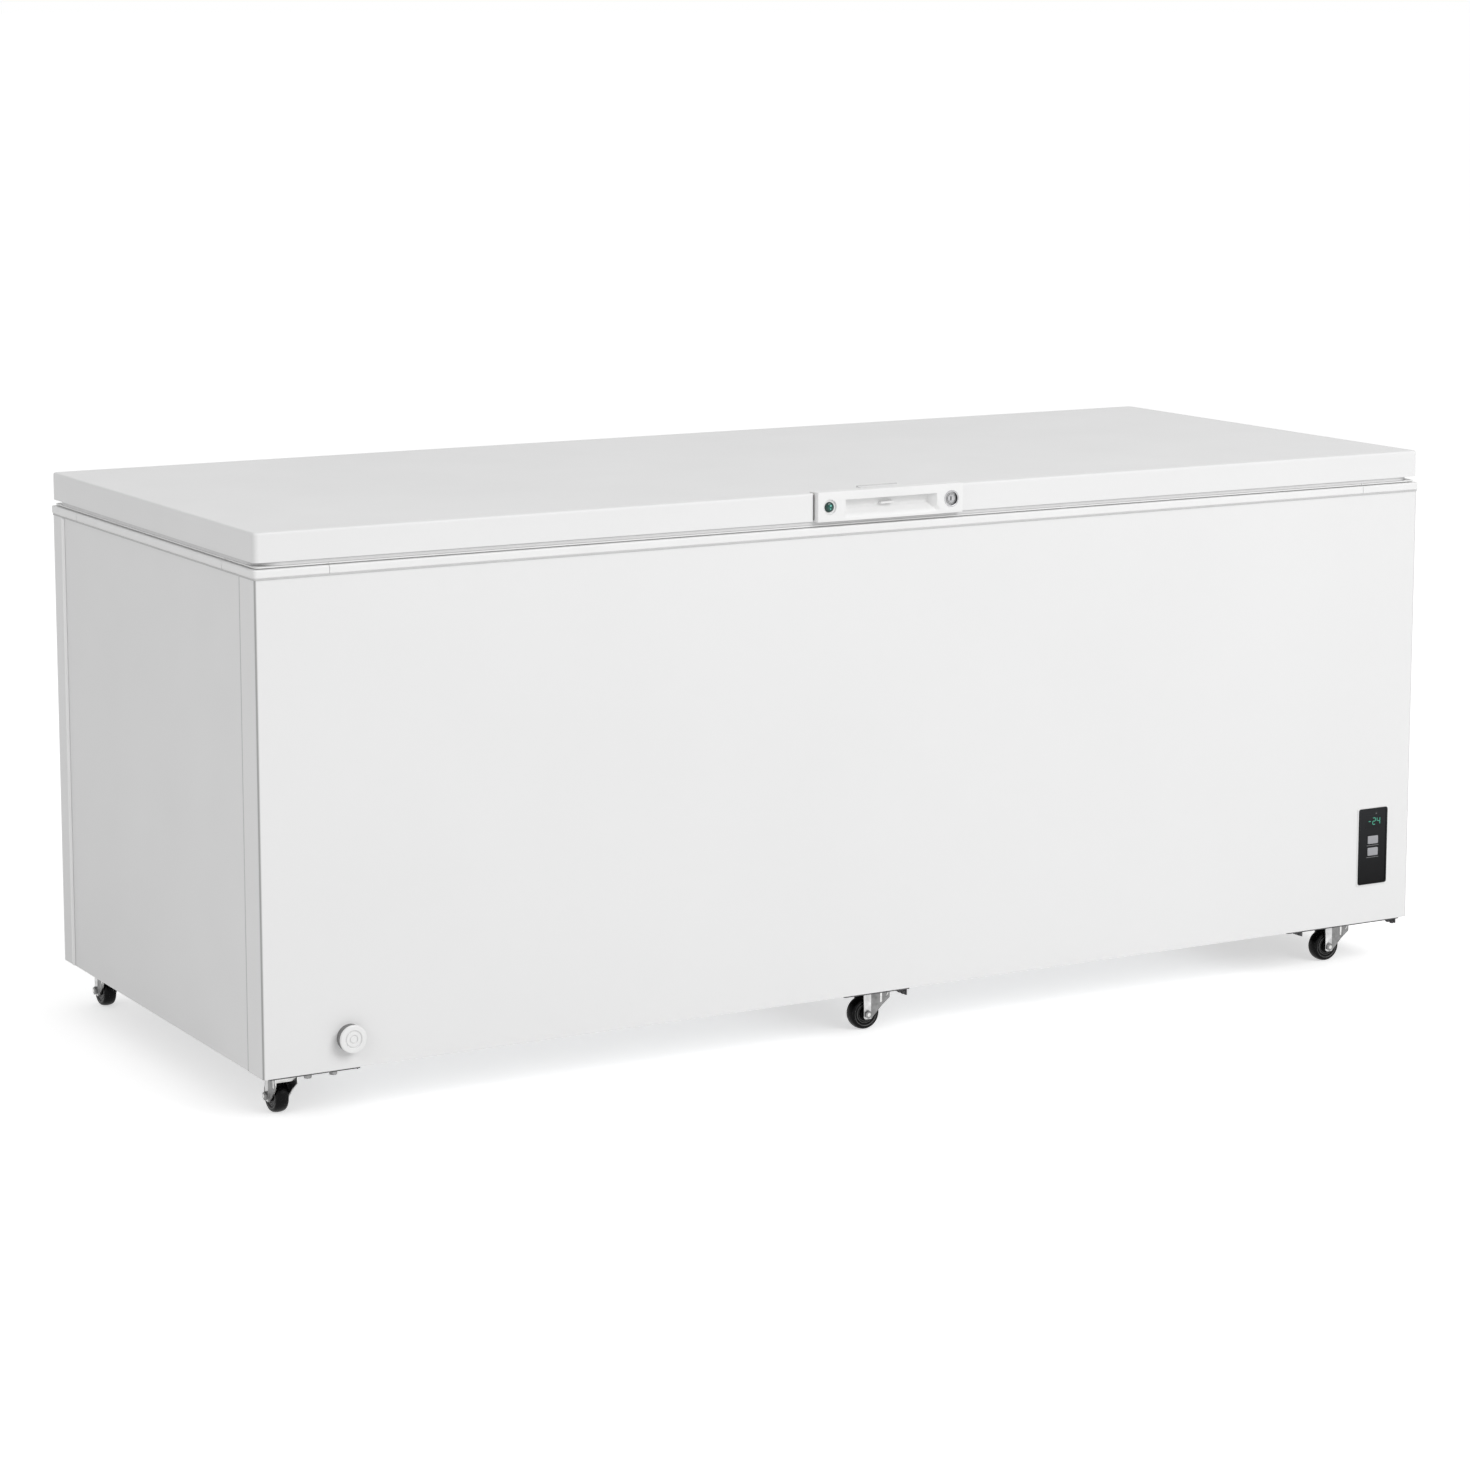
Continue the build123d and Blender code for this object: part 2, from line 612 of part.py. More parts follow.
with BuildPart() as lock_plug:
    rod_y(lock_x, plug_front, cam_back, lock_z, plug_radius - turn_clear)
    block(lock_x - 1.1, lock_x + 1.1, plug_front - 1, plug_front + 8,
          lock_z - 3.6, lock_z + 3.6, Mode.SUBTRACT)
    block(lock_x - 5, lock_x + cam_reach, cam_front, cam_back, lock_z - 5, lock_z + 5)
    block(lock_x + cam_reach - 4, lock_x + cam_reach, cam_front, cam_back, lock_z - 12, lock_z - 4)
save(lock_plug.part, "lock_plug")

# Control housing with a thin white frame, black fascia, window, board and two buttons
left = fascia_x - fascia_width / 2
right = fascia_x + fascia_width / 2
low = fascia_z - fascia_height / 2
high = fascia_z + fascia_height / 2
fascia_front = -half_d - 1.6
with BuildPart() as control_housing:
    block(left - frame_border, right + frame_border, -half_d - 1.2, -half_d,
          low - frame_border, high + frame_border)
    fillet(control_housing.edges().filter_by(Axis.Y), 3.0)
    block(left - 1.7, right + 1.7, -half_d - 0.5, -half_d + 28, low - 1.7, high + 1.7)
    block(left - fit_gap, right + fit_gap, -half_d - 5, -half_d + 26,
          low - fit_gap, high + fit_gap, Mode.SUBTRACT)
    for z in (low - fit_gap, high + fit_gap):
        block(left - 1, right + 1, -half_d + 1.0, -half_d + 4.0, z - 1.5, z + 1.5)
save(control_housing.part, "control_housing")

with BuildPart() as control_fascia:
    block(left, right, fascia_front, -half_d + 0.9, low, high)
    fillet(control_fascia.edges().filter_by(Axis.Y), 2.0)
    block(fascia_x - display_width / 2, fascia_x + display_width / 2, fascia_front - 1, -half_d + 2,
          display_z - display_height / 2, display_z + display_height / 2, Mode.SUBTRACT)
    for z in (upper_button_z, lower_button_z):
        block(fascia_x - button_width / 2 - button_clear, fascia_x + button_width / 2 + button_clear,
              fascia_front - 1, -half_d + 2, z - button_height / 2 - button_clear,
              z + button_height / 2 + button_clear, Mode.SUBTRACT)
save(control_fascia.part, "control_fascia")

with BuildPart() as display_window:
    block(fascia_x - display_width / 2 + 0.1, fascia_x + display_width / 2 - 0.1,
          fascia_front + 0.1, -half_d + 0.9,
          display_z - display_height / 2 + 0.1, display_z + display_height / 2 - 0.1)
save(display_window.part, "display_window")

board_y = -half_d + 12.0
with BuildPart() as control_board:
    block(left + 1, right - 1, board_y, board_y + 1.6, low + 1.6, high - 1.6)
    block(fascia_x - 14, fascia_x + 14, -half_d + 1.2, board_y, display_z - 9, display_z + 9)
    for z in (upper_button_z, lower_button_z):
        block(fascia_x - 3, fascia_x + 3, board_y - 4.3, board_y, z - 3, z + 3)
    block(left - fit_gap, left + 2, board_y, board_y + 1.6, fascia_z - 20, fascia_z + 20)
    block(right - 2, right + fit_gap, board_y, board_y + 1.6, fascia_z - 20, fascia_z + 20)
save(control_board.part, "control_board")


def push_button(z):
    with BuildPart() as button:
        block(fascia_x - button_width / 2, fascia_x + button_width / 2, fascia_front - 1.2, -half_d + 6.5,
              z - button_height / 2, z + button_height / 2)
        fillet(button.edges().filter_by(Axis.Y), 1.5)
        fillet(button.faces().sort_by(Axis.Y)[0].edges(), 0.5)
    return button.part


save(push_button(upper_button_z), "temperature_button")
save(push_button(lower_button_z), "mode_button")

# Drain: tube from the liner floor to the front, sliding spout with a dial, plug in the floor
tube_bore = spout_radius + turn_clear
with BuildPart() as drain_tube:
    rod_y(drain_x, -half_d - 1.5, drain_y, drain_z, 13.0)
    rod_y(drain_x, -half_d - 1.5, -half_d, drain_z, 17.0)
    with Locations((drain_x, drain_y, drain_z - sump_drop)):
        Cylinder(sump_radius, floor_top - skin - drain_z + sump_drop,
                 align=(Align.CENTER, Align.CENTER, Align.MIN))
    rod_y(drain_x, -half_d - 3, drain_y + 3, drain_z, tube_bore, Mode.SUBTRACT)
    with Locations((drain_x, drain_y, drain_z + 1)):
        Cylinder(10.0, 60, align=(Align.CENTER, Align.CENTER, Align.MIN), mode=Mode.SUBTRACT)
save(drain_tube.part, "drain_tube")

dial_front = -half_d - front_reach
dial_back = -half_d - 2.0
with BuildPart() as drain_spout:
    rod_y(drain_x, dial_front + 5, -half_d + 70, drain_z, spout_radius)
    rod_y(drain_x, dial_front + 8, -half_d + 75, drain_z, 8.5, Mode.SUBTRACT)
save(drain_spout.part, "drain_spout")

with BuildPart() as drain_dial:
    rod_y(drain_x, dial_front, dial_back, drain_z, dial_radius)
    fillet(drain_dial.faces().sort_by(Axis.Y)[0].edges(), 2.5)
    rod_y(drain_x, dial_front - 1, dial_front + 1.2, drain_z, 12.0, Mode.SUBTRACT)
    rod_y(drain_x, dial_front + 0.2, dial_front + 2, drain_z, 10.8)
    rod_y(drain_x, dial_front + 4.8, dial_back + 1, drain_z, spout_radius + turn_clear, Mode.SUBTRACT)
save(drain_dial.part, "drain_dial")

with BuildPart() as drain_plug:
    with Locations((drain_x, drain_y, floor_top + 0.1)):
        Cylinder(17.0, 4.0, align=(Align.CENTER, Align.CENTER, Align.MIN))
        Cylinder(9.8, 12.0, align=(Align.CENTER, Align.CENTER, Align.MAX))
    block(drain_x - 9, drain_x + 9, drain_y - 2, drain_y + 2, floor_top + 3, floor_top + 15)
    fillet(drain_plug.edges().filter_by(Axis.Y).group_by(Axis.Z)[-1], 5.0)
save(drain_plug.part, "drain_plug")

# Side grille of the bay, clipped in the right side panel
slot_pitch = 15.0
grille_face = half_w - skin
grille_y0 = grille_y - grille_length / 2
grille_y1 = grille_y + grille_length / 2
grille_z0 = grille_z - grille_height / 2
grille_z1 = grille_z + grille_height / 2
with BuildPart() as side_grille:
    with BuildSketch(Plane.YZ.offset(grille_face)):
        with Locations((grille_y, grille_z)):
            RectangleRounded(grille_length + 16, grille_height + 16, 6.0)
    extrude(amount=1.2)
    block(grille_face - 8, grille_face, grille_y0 + fit_gap, grille_y1 - fit_gap,
          grille_z0 + fit_gap, grille_z1 - fit_gap)
    block(grille_face - 9, grille_face - 1.5, grille_y0 + 2.5, grille_y1 - 2.5,
          grille_z0 + 2.5, grille_z1 - 2.5, Mode.SUBTRACT)
    with BuildSketch(Plane.YZ.offset(grille_face - 2)):
        with Locations((grille_y, grille_z)):
            with GridLocations(84.0, slot_pitch, 3, 9):
                SlotOverall(76.0, 7.0)
    extrude(amount=10, mode=Mode.SUBTRACT)
save(side_grille.part, "side_grille")

with BuildPart() as cord_gland:
    rod_y(gland_x, half_d, half_d + 4, gland_z, 13.0)
    rod_y(gland_x, half_d - 12, half_d, gland_z, 9.0)
    rod_y(gland_x, half_d - 14, half_d + 6, gland_z, cord_radius, Mode.SUBTRACT)
save(cord_gland.part, "cord_gland")

# Cross plates under the cabinet and the compressor tray
bolt_radius = 3.0
bolt_clear = 0.1
rail_left = castor_left - 45.0
rail_right = castor_left + 91.5
cross_left = castor_middle - 90.0
cross_right = castor_middle + 24.0
tray_left = half_w - 239.0
tray_right = half_w - 15.0
tray_lip = tray_left + 33.0
bolt_y = half_d - flange_width / 2
rail_bolts = [(castor_left + dx, y) for y in (-bolt_y, bolt_y) for dx in (17.5, 56.0)]
rail_low = cabinet_bottom - rail_thickness
rail_y = half_d - 1.0
lip_y = half_d - 8.0
with BuildPart() as support_rails:
    block(rail_left, rail_right, -rail_y, rail_y, rail_low, cabinet_bottom)
    block(cross_left, cross_right, -rail_y, rail_y, rail_low, cabinet_bottom)
    block(cross_right - 2, cross_right, -lip_y, -lip_y + 29, rail_low - 11, rail_low)
    block(cross_right - 2, cross_right, lip_y - 18, lip_y, rail_low - 11, rail_low)
    block(rail_right - 1.5, rail_right, -lip_y, lip_y, rail_low - 3, rail_low)
    for x, y in rail_bolts:
        with Locations((x, y, rail_low)):
            Cylinder(bolt_radius + bolt_clear, 10, mode=Mode.SUBTRACT)
save(support_rails.part, "support_rails")

with BuildPart() as compressor_tray:
    block(tray_left, tray_right, -rail_y, rail_y, rail_low, cabinet_bottom)
    block(tray_lip, tray_lip + 2, -lip_y, lip_y, rail_low - 9, rail_low)
    block(tray_right - 2, tray_right, -lip_y, lip_y, rail_low - 9, rail_low)
save(compressor_tray.part, "compressor_tray")

# Castor top plates with king pins
castor_low = rail_low - castor_plate
with BuildPart() as castor_plates:
    for cx, cy, heading in castors.values():
        with Locations((cx, cy, castor_low)):
            Box(46, 52, castor_plate, align=(Align.CENTER, Align.CENTER, Align.MIN))
            Cylinder(17.0, 2.0, align=(Align.CENTER, Align.CENTER, Align.MAX))
            Cylinder(king_radius, 10.5, align=(Align.CENTER, Align.CENTER, Align.MAX))
        with Locations((cx, cy, castor_low - 10.5)):
            Cylinder(7.0, 2.2, align=(Align.CENTER, Align.CENTER, Align.MIN))
    fillet(castor_plates.edges().filter_by(Axis.Z).filter_by(GeomType.LINE), 4.0)
save(castor_plates.part, "castor_plates")


# Swivel fork, axle bolt and nut, drawn with the wheel trailing along +X and then turned
crown_top = castor_low - 2.3
leg_inside = wheel_width / 2 + 1.6
leg_thickness = 2.2


def castor_fork(cx, cy, heading):
    with BuildPart() as fork:
        with BuildSketch(Plane.XZ.offset(-leg_inside - leg_thickness)):
            with BuildLine():
                Polyline(
                    (-17, crown_top),
                    (castor_trail + 4, crown_top),
                    (castor_trail + 6, crown_top - 14.2),
                    (castor_trail + 8, wheel_radius + 1),
                    (castor_trail + 4, wheel_radius - 8),
                    (castor_trail - 4, wheel_radius - 8),
                    (castor_trail - 7, wheel_radius - 1),
                    (-14, crown_top - 12.2),
                    close=True,
                )
            make_face()
        extrude(amount=2 * (leg_inside + leg_thickness))
        block(-40, 40, -leg_inside, leg_inside, -5, crown_top - 3.6, Mode.SUBTRACT)
        fillet(fork.edges().filter_by(Axis.X).group_by(Axis.Z)[-1], 3.0)
        Cylinder(king_radius + turn_clear, 200, mode=Mode.SUBTRACT)
        rod_y(castor_trail, -40, 40, wheel_radius, axle_radius + 0.1, Mode.SUBTRACT)
    with BuildPart() as bolt:
        reach = leg_inside + leg_thickness
        rod_y(castor_trail, -reach - 6, reach, wheel_radius, axle_radius)
        with BuildSketch(Plane.XZ.offset(-reach)):
            with Locations((castor_trail, wheel_radius)):
                RegularPolygon(5.8, 6)
        extrude(amount=-4.0)
        with BuildSketch(Plane.XZ.offset(reach)):
            with Locations((castor_trail, wheel_radius)):
                RegularPolygon(5.8, 6)
        extrude(amount=4.5)
    spot = Location((cx, cy, 0), (0, 0, heading))
    return Compound([solid.moved(spot) for solid in fork.part.solids() + bolt.part.solids()])


def castor_wheel(cx, cy, heading):
    w = wheel_width / 2
    r = wheel_radius
    with BuildPart() as wheel:
        with BuildSketch(Plane.XY):
            with BuildLine():
                Polyline((3.06, -w - 0.6), (8, -w - 0.6), (8.6, -w + 1.8), (11.5, -w + 1.8), (12.2, -w + 0.9),
                         (14.2, -w + 0.9), (15, -w + 1.8), (18, -w + 1.8), (18.8, -w + 0.2), (r - 3.5, -w),
                         (r - 1.2, -w + 2.2))
                ThreePointArc((r - 1.2, -w + 2.2), (r, 0), (r - 1.2, w - 2.2))
                Polyline((r - 1.2, w - 2.2), (r - 3.5, w), (18.8, w - 0.2), (18, w - 1.8), (15, w - 1.8),
                         (14.2, w - 0.9), (12.2, w - 0.9), (11.5, w - 1.8), (8.6, w - 1.8), (8, w + 0.6),
                         (3.06, w + 0.6), (3.06, -w - 0.6))
            make_face()
        revolve(axis=Axis.Y)
    centre = Location((castor_trail, 0, wheel_radius))
    return wheel.part.moved(Location((cx, cy, 0), (0, 0, heading)) * centre)


for place, (cx, cy, heading) in castors.items():
    save(castor_fork(cx, cy, heading), f"castor_fork_{place}")
    save(castor_wheel(cx, cy, heading), f"castor_wheel_{place}")

# Hinges on the back: base with two ears, leaf with a knuckle, pin
pin_y = half_d + pin_back
hinge_xs = (-hinge_spacing / 2, hinge_spacing / 2)
hinge_high = trim_bottom - hinge_drop
hinge_low = hinge_high - hinge_height
hinge_out = half_d + front_reach
base_bolt_zs = (hinge_low + 15, hinge_high - 14)
base_bolts = [(hx + dx, z) for hx in hinge_xs for dx in (-32.5, 32.5) for z in base_bolt_zs]
leaf_foot = lid_bottom + fit_gap
leaf_half = ear_inside - 1.0
leaf_screws = [(hx + dx, lid_bottom + leaf_screw_rise) for hx in hinge_xs for dx in (-13, 13)]
with BuildPart() as hinge_bases:
    for hx in hinge_xs:
        block(hx - 40, hx + 40, half_d, half_d + hinge_plate, hinge_low, hinge_high)
        for side in (-1, 1):
            x0 = hx + (ear_inside if side > 0 else -ear_inside - ear_thickness)
            with BuildSketch(Plane.YZ.offset(x0)):
                with BuildLine():
                    Polyline(
                        (half_d + 1, hinge_low + 10),
                        (hinge_out, hinge_low + 32),
                        (hinge_out, hinge_high - 4),
                        (pin_y + 7, pin_z),
                        (pin_y - 5.5, pin_z),
                        (half_d + 2.2, hinge_high - 1),
                        (half_d + 1, hinge_high - 1),
                        close=True,
                    )
                make_face()
                with Locations((pin_y, pin_z)):
                    Circle(7.0)
            extrude(amount=ear_thickness)
        with Locations(Location((hx, pin_y, pin_z), (0, 90, 0))):
            Cylinder(pin_radius + pin_fit, 80, mode=Mode.SUBTRACT)
    for x, z in base_bolts:
        rod_y(x, half_d - 1, half_d + 10, z, bolt_radius + bolt_clear, Mode.SUBTRACT)
save(hinge_bases.part, "hinge_bases")

with BuildPart() as hinge_leaves:
    for hx in hinge_xs:
        block(hx - leaf_half, hx + leaf_half, half_d, half_d + hinge_plate, leaf_foot, lid_top - 4)
        with Locations(Location((hx, pin_y, pin_z), (0, 90, 0))):
            Cylinder(6.2, 2 * leaf_half)
        with BuildSketch(Plane.YZ.offset(hx - leaf_half)):
            with BuildLine():
                Polyline(
                    (half_d + 0.3, leaf_foot + 8.2),
                    (half_d + hinge_plate, leaf_foot + 8.2),
                    (pin_y + 4.6, pin_z + 4.1),
                    (pin_y, pin_z),
                    (half_d + 1.5, pin_z + 0.5),
                    (half_d + 0.3, leaf_foot),
                    close=True,
                )
            make_face()
        extrude(amount=2 * leaf_half)
        with Locations(Location((hx, pin_y, pin_z), (0, 90, 0))):
            Cylinder(pin_radius + pin_fit, 80, mode=Mode.SUBTRACT)
    for x, z in leaf_screws:
        rod_y(x, half_d - 1, half_d + 10, z, bolt_radius + bolt_clear, Mode.SUBTRACT)
save(hinge_leaves.part, "hinge_leaves")

with BuildPart() as hinge_pins:
    for hx in hinge_xs:
        with Locations(Location((hx, pin_y, pin_z), (0, 90, 0))):
            Cylinder(pin_radius, 2 * (ear_inside + ear_thickness) + 2)
        with Locations(Location((hx + ear_inside + ear_thickness + 1.2, pin_y, pin_z), (0, 90, 0))):
            Cylinder(5.5, 2.0)
save(hinge_pins.part, "hinge_pins")


# Hexagon bolts: heads on the plates, shanks in the plates
def hex_bolt(plane, shank):
    with BuildPart() as bolt:
        with BuildSketch(plane):
            RegularPolygon(5.6, 6)
        extrude(amount=4.0)
        with BuildSketch(plane):
            Circle(bolt_radius)
        extrude(amount=-shank)
    return bolt.part


plate_face = half_d + hinge_plate
bolts = [hex_bolt(Plane((x, plate_face, z), z_dir=(0, 1, 0)), hinge_plate) for x, z in base_bolts]
bolts += [hex_bolt(Plane((x, y, rail_low), z_dir=(0, 0, -1)), rail_thickness) for x, y in rail_bolts]
screws = [hex_bolt(Plane((x, plate_face, z), z_dir=(0, 1, 0)), hinge_plate) for x, z in leaf_screws]
with BuildPart() as cabinet_bolts:
    add(bolts)
save(cabinet_bolts.part, "cabinet_bolts")

with BuildPart() as lid_screws:
    add(screws)
save(lid_screws.part, "lid_screws")

# Compressor on four rubber grommets, relay cover, drier and pipes in the bay
with BuildPart() as compressor_shell:
    with BuildSketch(Plane.XY.offset(foot_z + 3)):
        with Locations((comp_x, comp_y)):
            Ellipse(86, 70)
    extrude(amount=135)
    fillet(compressor_shell.faces().sort_by(Axis.Z)[-1].edges(), 42.0)
    with BuildSketch(Plane.XY.offset(foot_z + 61)):
        with Locations((comp_x, comp_y)):
            Ellipse(88.5, 72.5)
    extrude(amount=5)
    block(comp_x - 95, comp_x + 95, comp_y - 62, comp_y + 62, foot_z, foot_z + 3)
    fillet(compressor_shell.faces().sort_by(Axis.Z)[0].edges().sort_by(Axis.Z)[0:4], 0.5)
save(compressor_shell.part, "compressor_shell")

with BuildPart() as compressor_grommets:
    for dx in (-82, 82):
        for dy in (-50, 50):
            with Locations((comp_x + dx, comp_y + dy, cabinet_bottom)):
                Cylinder(12.0, foot_z - cabinet_bottom, align=(Align.CENTER, Align.CENTER, Align.MIN))
save(compressor_grommets.part, "compressor_grommets")

with BuildPart() as relay_cover:
    block(comp_x - 34, comp_x + 34, comp_y + 72.7, comp_y + 106, foot_z + 33, foot_z + 93)
    fillet(relay_cover.edges().filter_by(Axis.X), 5.0)
save(relay_cover.part, "relay_cover")

with BuildPart() as filter_drier:
    rod_y(drier_x, drier_low, drier_high, drier_z, 9.5)
    fillet(filter_drier.edges(), 4.0)
save(filter_drier.part, "filter_drier")

pipe_radius = 3.0
pipe_low = bay_top - 30.0
pipe_turn = bay_top - 48.0
suction_z = foot_z + 93.0
pipe_runs = (
    ((discharge_x, comp_y, foot_z + 138), (discharge_x, comp_y, pipe_turn),
     (condenser_in, condenser_y, pipe_turn), (condenser_in, condenser_y, pipe_low)),
    ((condenser_out, condenser_y, pipe_low), (condenser_out, condenser_y, drier_z),
     (drier_x, condenser_y, drier_z), (drier_x, drier_high, drier_z)),
    ((drier_x, drier_low, drier_z), (drier_x, capillary_y, drier_z), (drier_x, capillary_y, bay_top - 0.5)),
    ((suction_x, suction_y, bay_top - 0.5), (suction_x, suction_y, suction_z),
     (suction_x, comp_y - 69.7, suction_z)),
)


def pipe(points):
    with BuildPart() as run:
        with BuildLine() as path:
            FilletPolyline(*points, radius=10.0)
        with BuildSketch(Plane(path.line @ 0, z_dir=path.line % 0)):
            Circle(pipe_radius)
        sweep()
    return run.part


save(Compound([solid for points in pipe_runs for solid in pipe(points).solids()]), "refrigerant_pipes")

# Hanging baskets: wire walls as holed sheets, with hanger bars on the rim's ledge
wire = 3.0
basket_width = 260.0
basket_drop = 212.0
basket_rise = 4.0
basket_low = ledge_top - basket_drop
basket_high = ledge_top + basket_rise
basket_reach = liner_y - 9.0


def wire_wall(plane, length, height, gaps_long, gaps_high):
    pitch_long = (length - wire) / gaps_long
    pitch_high = (height - wire) / gaps_high
    with BuildPart() as net:
        with BuildSketch(plane):
            Rectangle(length, height)
            with GridLocations(pitch_long, pitch_high, gaps_long, gaps_high):
                Rectangle(pitch_long - wire, pitch_high - wire, mode=Mode.SUBTRACT)
        extrude(amount=wire)
    return net.part.solids()


def basket(bx):
    mid_z = (basket_low + basket_high) / 2
    tall = basket_high - basket_low
    deep = 2 * basket_reach
    seam = 0.1
    solids = []
    solids += wire_wall(Plane((bx, 0, basket_low), z_dir=(0, 0, 1)), basket_width, deep, 6, 14)
    side_tall = tall - wire - seam
    side_mid = mid_z + (wire + seam) / 2
    for side in (-1, 1):
        edge_x = bx + side * (basket_width / 2 - wire)
        base = Plane((edge_x, 0, side_mid), x_dir=(0, 1, 0), z_dir=(side, 0, 0))
        solids += wire_wall(base, deep, side_tall, 14, 3)
        base = Plane((bx, side * (basket_reach - wire), side_mid), x_dir=(1, 0, 0), z_dir=(0, side, 0))
        solids += wire_wall(base, basket_width - 2 * wire - 2 * seam, side_tall, 6, 3)
        with BuildPart() as hanger:
            y0, y1 = sorted((side * (basket_reach + seam), side * (liner_y + 19)))
            for x in (bx - 80, bx + 80):
                block(x - 20, x + 20, y0, y1, ledge_top + 0.1, ledge_top + 0.1 + wire)
        solids += hanger.part.solids()
    return Compound(solids)


basket_x = half_w - 230.0
save(basket(-basket_x), "basket_left")
save(basket(basket_x), "basket_right")
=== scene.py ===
import json
import math
import bpy
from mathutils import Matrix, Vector


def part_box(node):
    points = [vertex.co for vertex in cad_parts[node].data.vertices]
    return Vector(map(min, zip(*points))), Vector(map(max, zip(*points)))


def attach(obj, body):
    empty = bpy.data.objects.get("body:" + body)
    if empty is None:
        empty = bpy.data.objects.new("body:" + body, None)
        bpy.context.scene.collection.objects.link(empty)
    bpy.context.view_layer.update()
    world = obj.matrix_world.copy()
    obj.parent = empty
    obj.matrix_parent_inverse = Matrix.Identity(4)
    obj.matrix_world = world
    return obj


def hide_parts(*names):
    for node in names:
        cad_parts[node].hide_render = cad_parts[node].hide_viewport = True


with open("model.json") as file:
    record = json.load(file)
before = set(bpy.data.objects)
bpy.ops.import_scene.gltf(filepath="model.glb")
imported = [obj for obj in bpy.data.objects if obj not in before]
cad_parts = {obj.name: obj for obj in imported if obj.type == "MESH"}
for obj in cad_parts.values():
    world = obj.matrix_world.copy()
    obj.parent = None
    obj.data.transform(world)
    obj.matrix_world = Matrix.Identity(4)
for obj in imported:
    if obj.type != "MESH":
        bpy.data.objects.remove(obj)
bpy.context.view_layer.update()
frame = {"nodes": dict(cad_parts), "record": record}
nodes = frame["nodes"]
mm = 0.001
slack = 0.1  # mm to spare when points are picked along an edge
endBand = 1.0  # points within this many mm of an end belong to it
cabinetHalf = {"X": 1000.0, "Y": 398.0}  # mm from the middle to the outside of the panels
towardsFront = (90, 0, 0)  # a turned piece that faces the front has its height along -Y
towardsBack = (-90, 0, 0)
print("frame loaded with", len(nodes), "nodes")


# Bench tools: picking, cutting, turning and finishing a mesh

def closeMesh():
    if bpy.context.mode != "OBJECT":
        bpy.ops.object.mode_set(mode="OBJECT")


def dropPicks():
    closeMesh()
    bpy.ops.object.select_all(action="DESELECT")


def takeUp(piece):
    dropPicks()
    piece.select_set(True)
    bpy.context.view_layer.objects.active = piece


def applyPlace(piece):
    takeUp(piece)
    bpy.ops.object.transform_apply(location=True, rotation=True, scale=True)


def newBlock(name, low, high):
    low = Vector(low) * mm
    high = Vector(high) * mm
    dropPicks()
    bpy.ops.mesh.primitive_cube_add(size=1, location=(low + high) / 2)
    piece = bpy.context.object
    piece.name = name
    piece.scale = high - low
    applyPlace(piece)
    return piece


def openMesh(piece, kind="FACE"):
    takeUp(piece)
    bpy.ops.object.mode_set(mode="EDIT")
    bpy.ops.mesh.select_mode(type=kind)
    bpy.ops.mesh.select_all(action="DESELECT")


def level(here, there, gap=0.01):  # the same to a hair, in mm
    return abs(here - there) < gap


def runs(axis, a, b, least=1.0):  # whether an edge from a to b covers more mm than the least along the axis
    way = "XYZ".index(axis)
    return abs(a[way] - b[way]) > least


def facesFront(normal):
    return normal.y < -0.9


def smoothOver(piece, angle):  # faces that meet at less than the angle shade as one
    takeUp(piece)
    bpy.ops.object.shade_smooth_by_angle(angle=math.radians(angle))


def pickFaces(piece, test):  # test takes a face's centre in mm and its normal
    openMesh(piece, "FACE")
    closeMesh()
    for face in piece.data.polygons:
        face.select = bool(test(face.center / mm, face.normal))
    bpy.ops.object.mode_set(mode="EDIT")


def pickEdges(piece, test):  # test takes an edge's two ends in mm
    openMesh(piece, "EDGE")
    closeMesh()
    points = piece.data.vertices
    for edge in piece.data.edges:
        a, b = edge.vertices
        edge.select = bool(test(points[a].co / mm, points[b].co / mm))
    bpy.ops.object.mode_set(mode="EDIT")


def roundEdges(piece, radius, steps, test):
    pickEdges(piece, test)
    bpy.ops.mesh.bevel(offset=radius * mm, segments=steps)
    closeMesh()


def shiftEdges(piece, by, test):
    pickEdges(piece, test)
    bpy.ops.transform.translate(value=[part * mm for part in by])
    closeMesh()


def slicePiece(piece, at, across, drop=False):  # drop takes off the side that across points to
    openMesh(piece)
    bpy.ops.mesh.select_all(action="SELECT")
    bpy.ops.mesh.bisect(plane_co=Vector(at) * mm, plane_no=across, use_fill=drop, clear_outer=drop)
    closeMesh()


def soften(piece, width, steps=3, angle=35):
    takeUp(piece)
    bevel = piece.modifiers.new("soften", "BEVEL")
    bevel.width = width * mm
    bevel.segments = steps
    bevel.limit_method = "ANGLE"
    bevel.angle_limit = math.radians(angle)
    bpy.ops.object.modifier_apply(modifier=bevel.name)
    smoothOver(piece, angle)


def carve(piece, cutter):
    takeUp(piece)
    cut = piece.modifiers.new("carve", "BOOLEAN")
    cut.operation = "DIFFERENCE"
    cut.solver = "EXACT"
    cut.object = cutter
    bpy.ops.object.modifier_apply(modifier=cut.name)
    bpy.data.objects.remove(cutter)


def joinTo(piece, *others):
    takeUp(piece)
    for other in others:
        other.select_set(True)
    bpy.ops.object.join()
    return piece


def joinAs(name, pieces):
    whole = joinTo(*pieces)
    whole.name = name
    return whole


